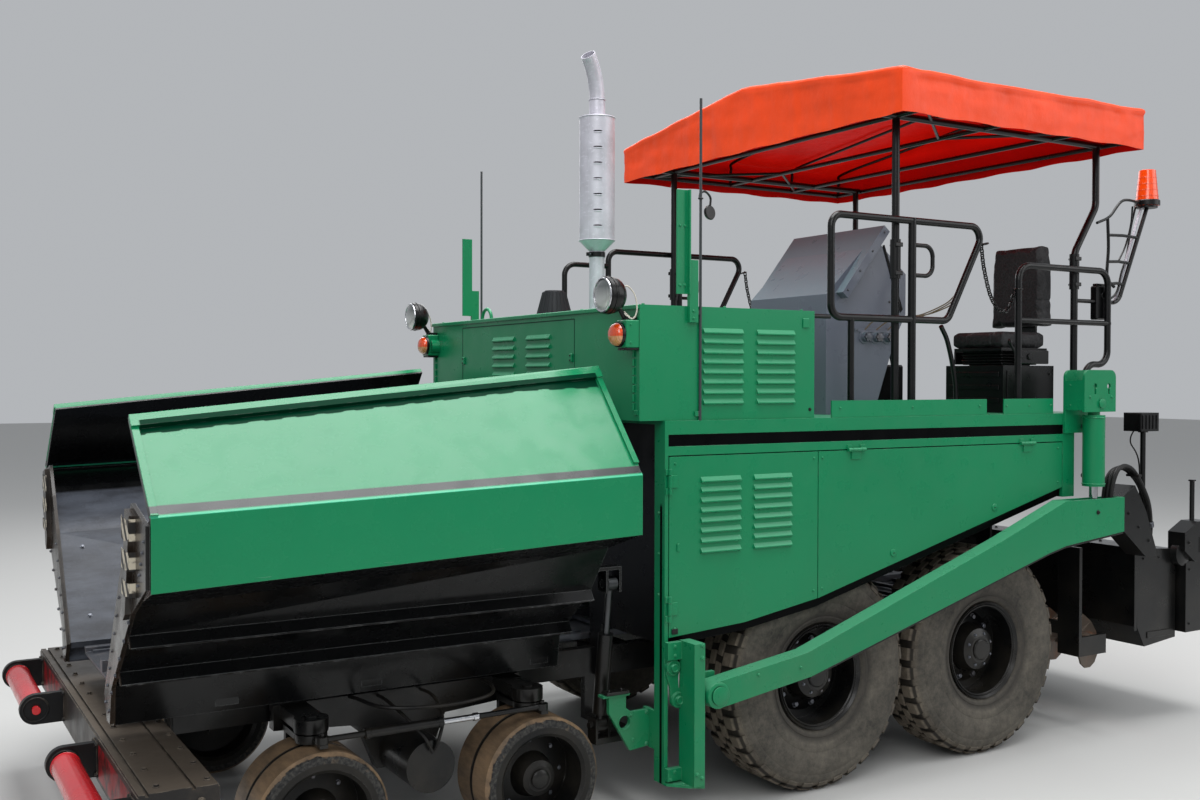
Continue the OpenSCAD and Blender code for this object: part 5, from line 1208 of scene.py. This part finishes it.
def arm_trim():
    b = Build()
    b.turned((0.845, 1.4, 0.67), Y,
             [(0.064, -0.001), (0.064, 0.004), (0.056, 0.008), (0.046, 0.008), (0.046, -0.001)], 32)
    b.bolts([(0.6, 1.4002, 0.74), (0.33, 1.4002, 0.745)], Y, 0.014)
    b.bolt((-1.98, 1.4002, 1.405), Y, slot=1)
    lip = [(0.258, 0.69), (-1.55, 1.19), (-1.697, 1.222), (-2.23, 1.275)]
    for (x0, z0), (x1, z1) in zip(lip, lip[1:]):
        b.plate([(x0, z0 - 0.0003), (x0, z0 - 0.014), (x1, z1 - 0.014), (x1, z1 - 0.0003)], 1.302, 1.392, slot=1)
    pair("arm_trim_{}", b, ["green_paint", "black_paint"], "screed_unit")
    b = Build()
    for i in range(3):
        dy = 0.026 * i
        b.curve([(-2.13, 1.315 + dy, 1.36), (-2.16, 1.315 + dy, 1.56), (-2.24, 1.31 + dy, 1.645 + 0.01 * i),
                 (-2.38, 1.3 + dy, 1.64), (-2.52, 1.3 + dy, 1.52 - 0.03 * i),
                 (-2.6, 1.27 + dy, 1.34 - 0.02 * i), (-2.66, 1.22 + dy, 1.17), (-2.72, 1.2, 1.105)], 0.013)
        b.rod((-2.597, 1.273 + dy, 1.345 - 0.02 * i), (-2.612, 1.266 + dy, 1.31 - 0.02 * i), 0.017, 10, 1)
    b.slab((-2.42, 1.29, 1.6), (-2.39, 1.385, 1.615))
    pair("screed_hoses_{}", b, ["hose_rubber", "worn_steel"], "screed_unit")
    b = Build((-2.0, 0, 0))
    for z in (1.575, 1.975):
        b.ring((0, 1.35, z), Z, 0.0655, 0.004, 40)
    for z in (1.62, 1.92):
        b.rod((0, 1.285, z), (0, 1.268, z), 0.014, 12, 1)
    pair("lift_glands_{}", b, ["green_paint", "worn_steel"], "lift_barrel_{}")


def steering_trim():
    """The thin cylinder between the front wheels and the hoses behind it."""
    b = Build((2.52, 1.075, 0.651))
    b.turned((0, 0, 0), -X, [(0.014, 0), (0.024, 0.002), (0.024, 0.022), (0.021, 0.026), (0.021, 0.345),
                             (0.025, 0.349), (0.025, 0.368), (0.016, 0.374)], 28)
    b.turned((0, 0, 0), -X,
             [(0.0142, 0.372), (0.0142, 0.52), (0.0182, 0.522), (0.0182, 0.545), (0.0135, 0.548)], 24, 1)
    pair("steering_cylinder_{}", b, ["black_paint", "rod_chrome"], "tie_rod_{}")
    b = Build()
    b.curve([(2.46, 0.555, 0.7), (2.43, 0.7, 0.712), (2.36, 0.92, 0.708), (2.1, 0.985, 0.698),
             (1.87, 0.96, 0.706), (1.77, 0.8, 0.708), (1.75, 0.555, 0.7)], 0.009)
    b.curve([(2.3, 0.555, 0.69), (2.3, 0.75, 0.7), (2.28, 0.95, 0.66), (2.22, 1.03, 0.58),
             (2.175, 1.02, 0.5)], 0.008)
    b.curve([(2.08, 0.555, 0.69), (2.08, 0.8, 0.7), (2.1, 0.96, 0.64), (2.14, 1.02, 0.57),
             (2.16, 1.0, 0.5)], 0.008)
    pair("axle_hoses_{}", b, "hose_rubber")


def screed_trim():
    b = Build()
    b.slab((-3.02, 1.3898, 1.09), (-3.0, 1.3912, 1.19), 1, 0.0004)
    b.bolts([(-3.11, 1.3902, 1.07), (-2.9, 1.3902, 1.16), (-3.1, 1.3902, 1.25)], Y, 0.018)
    b.turned((-2.9, 1.3002, 1.08), Y, [(0.075, 0), (0.075, 0.05), (0.055, 0.06), (0.02, 0.062)], 28)
    b.slab((-3.03, 1.31, 1.545), (-3.0, 1.35, 1.556))
    b.slab((-2.495, 1.3002, 0.62), (-2.47, 1.304, 1.12), c=0.002)
    b.slab((-2.86, 1.3002, 0.56), (-2.6, 1.306, 0.6), c=0.002)
    b.bolts(grid((-2.56, -2.72, -2.86), 1.3002, 1.07), Y, 0.014)
    b.bolts(grid((-2.95, -3.1), 1.3602, (0.63, 0.98)), Y, 0.014)
    b.bolts([(x, 1.3802, 3.45 + 0.9 * x) for x in (-2.3, -2.4, -2.5)], Y, 0.018)
    b.curve([(-2.9, 0.95, 1.04), (-2.9, 0.95, 1.2), (-2.93, 0.95, 1.26), (-3.05, 0.95, 1.26), (-3.08, 0.95, 1.2),
             (-3.08, 0.95, 1.03)], 0.014, steps=6)
    b.twin()
    b.bolts([(-2.7, 0.22 * t, 1.1268) for t in range(-5, 6)], Z, 0.018)
    for y in [0.1 * t for t in range(-12, 13)]:
        b.slab((-3.255, y - 0.006, 0.6652), (-3.145, y + 0.006, 0.669), c=0.001)
    b.slab((-2.8, -0.9, 1.123), (-2.62, -0.55, 1.19), c=0.008)
    b.slab((-2.8, 0.2, 1.123), (-2.62, 0.55, 1.16), c=0.008)
    piece("screed_trim", b, ["black_paint", "dark_gap"], "screed_unit")


def set_stage():
    size = 60.0
    g = Graph("floor")
    g.finish(Base_Color=(0.5, 0.5, 0.49, 1), Roughness=0.9)
    mesh = bpy.data.meshes.new("floor")
    mesh.from_pydata([(-size, -size, 0), (size, -size, 0), (size, size, 0), (-size, size, 0)], [], [(0, 1, 2, 3)])
    mesh.materials.append(g.mat)
    new_object("floor", mesh)
    scene = bpy.context.scene
    scene.world = bpy.data.worlds.new("world")
    scene.world.use_nodes = True
    back = scene.world.node_tree.nodes["Background"]
    back.inputs["Color"].default_value = (0.9, 0.93, 0.97, 1)
    back.inputs["Strength"].default_value = 0.5
    scene.view_settings.view_transform = "Standard"
    for name, at, width, power in (("key", (7.0, 9.0, 9.0), 7.0, 520.0), ("fill", (-8.0, 8.0, 7.0), 8.0, 300.0),
                                   ("top", (0.0, 1.0, 12.0), 9.0, 1750.0), ("back", (-4.0, -10.0, 8.0), 8.0, 380.0)):
        data = bpy.data.lights.new(name, "AREA")
        data.size, data.energy = width, power
        lamp = new_object(name, data)
        lamp.location = at
        lamp.rotation_euler = (Vector((0, 0, 1.5)) - Vector(at)).to_track_quat("-Z", "Y").to_euler()


make_materials()
set_camera()
dress_cad()
wheels()
canopy()
seat()
wing_trim()
push_beam_trim()
hood_trim()
lamps()
exhaust_trim()
deck_trim()
console_trim()
tow_point_trim()
door_trim()
arm_trim()
steering_trim()
screed_trim()
set_stage()
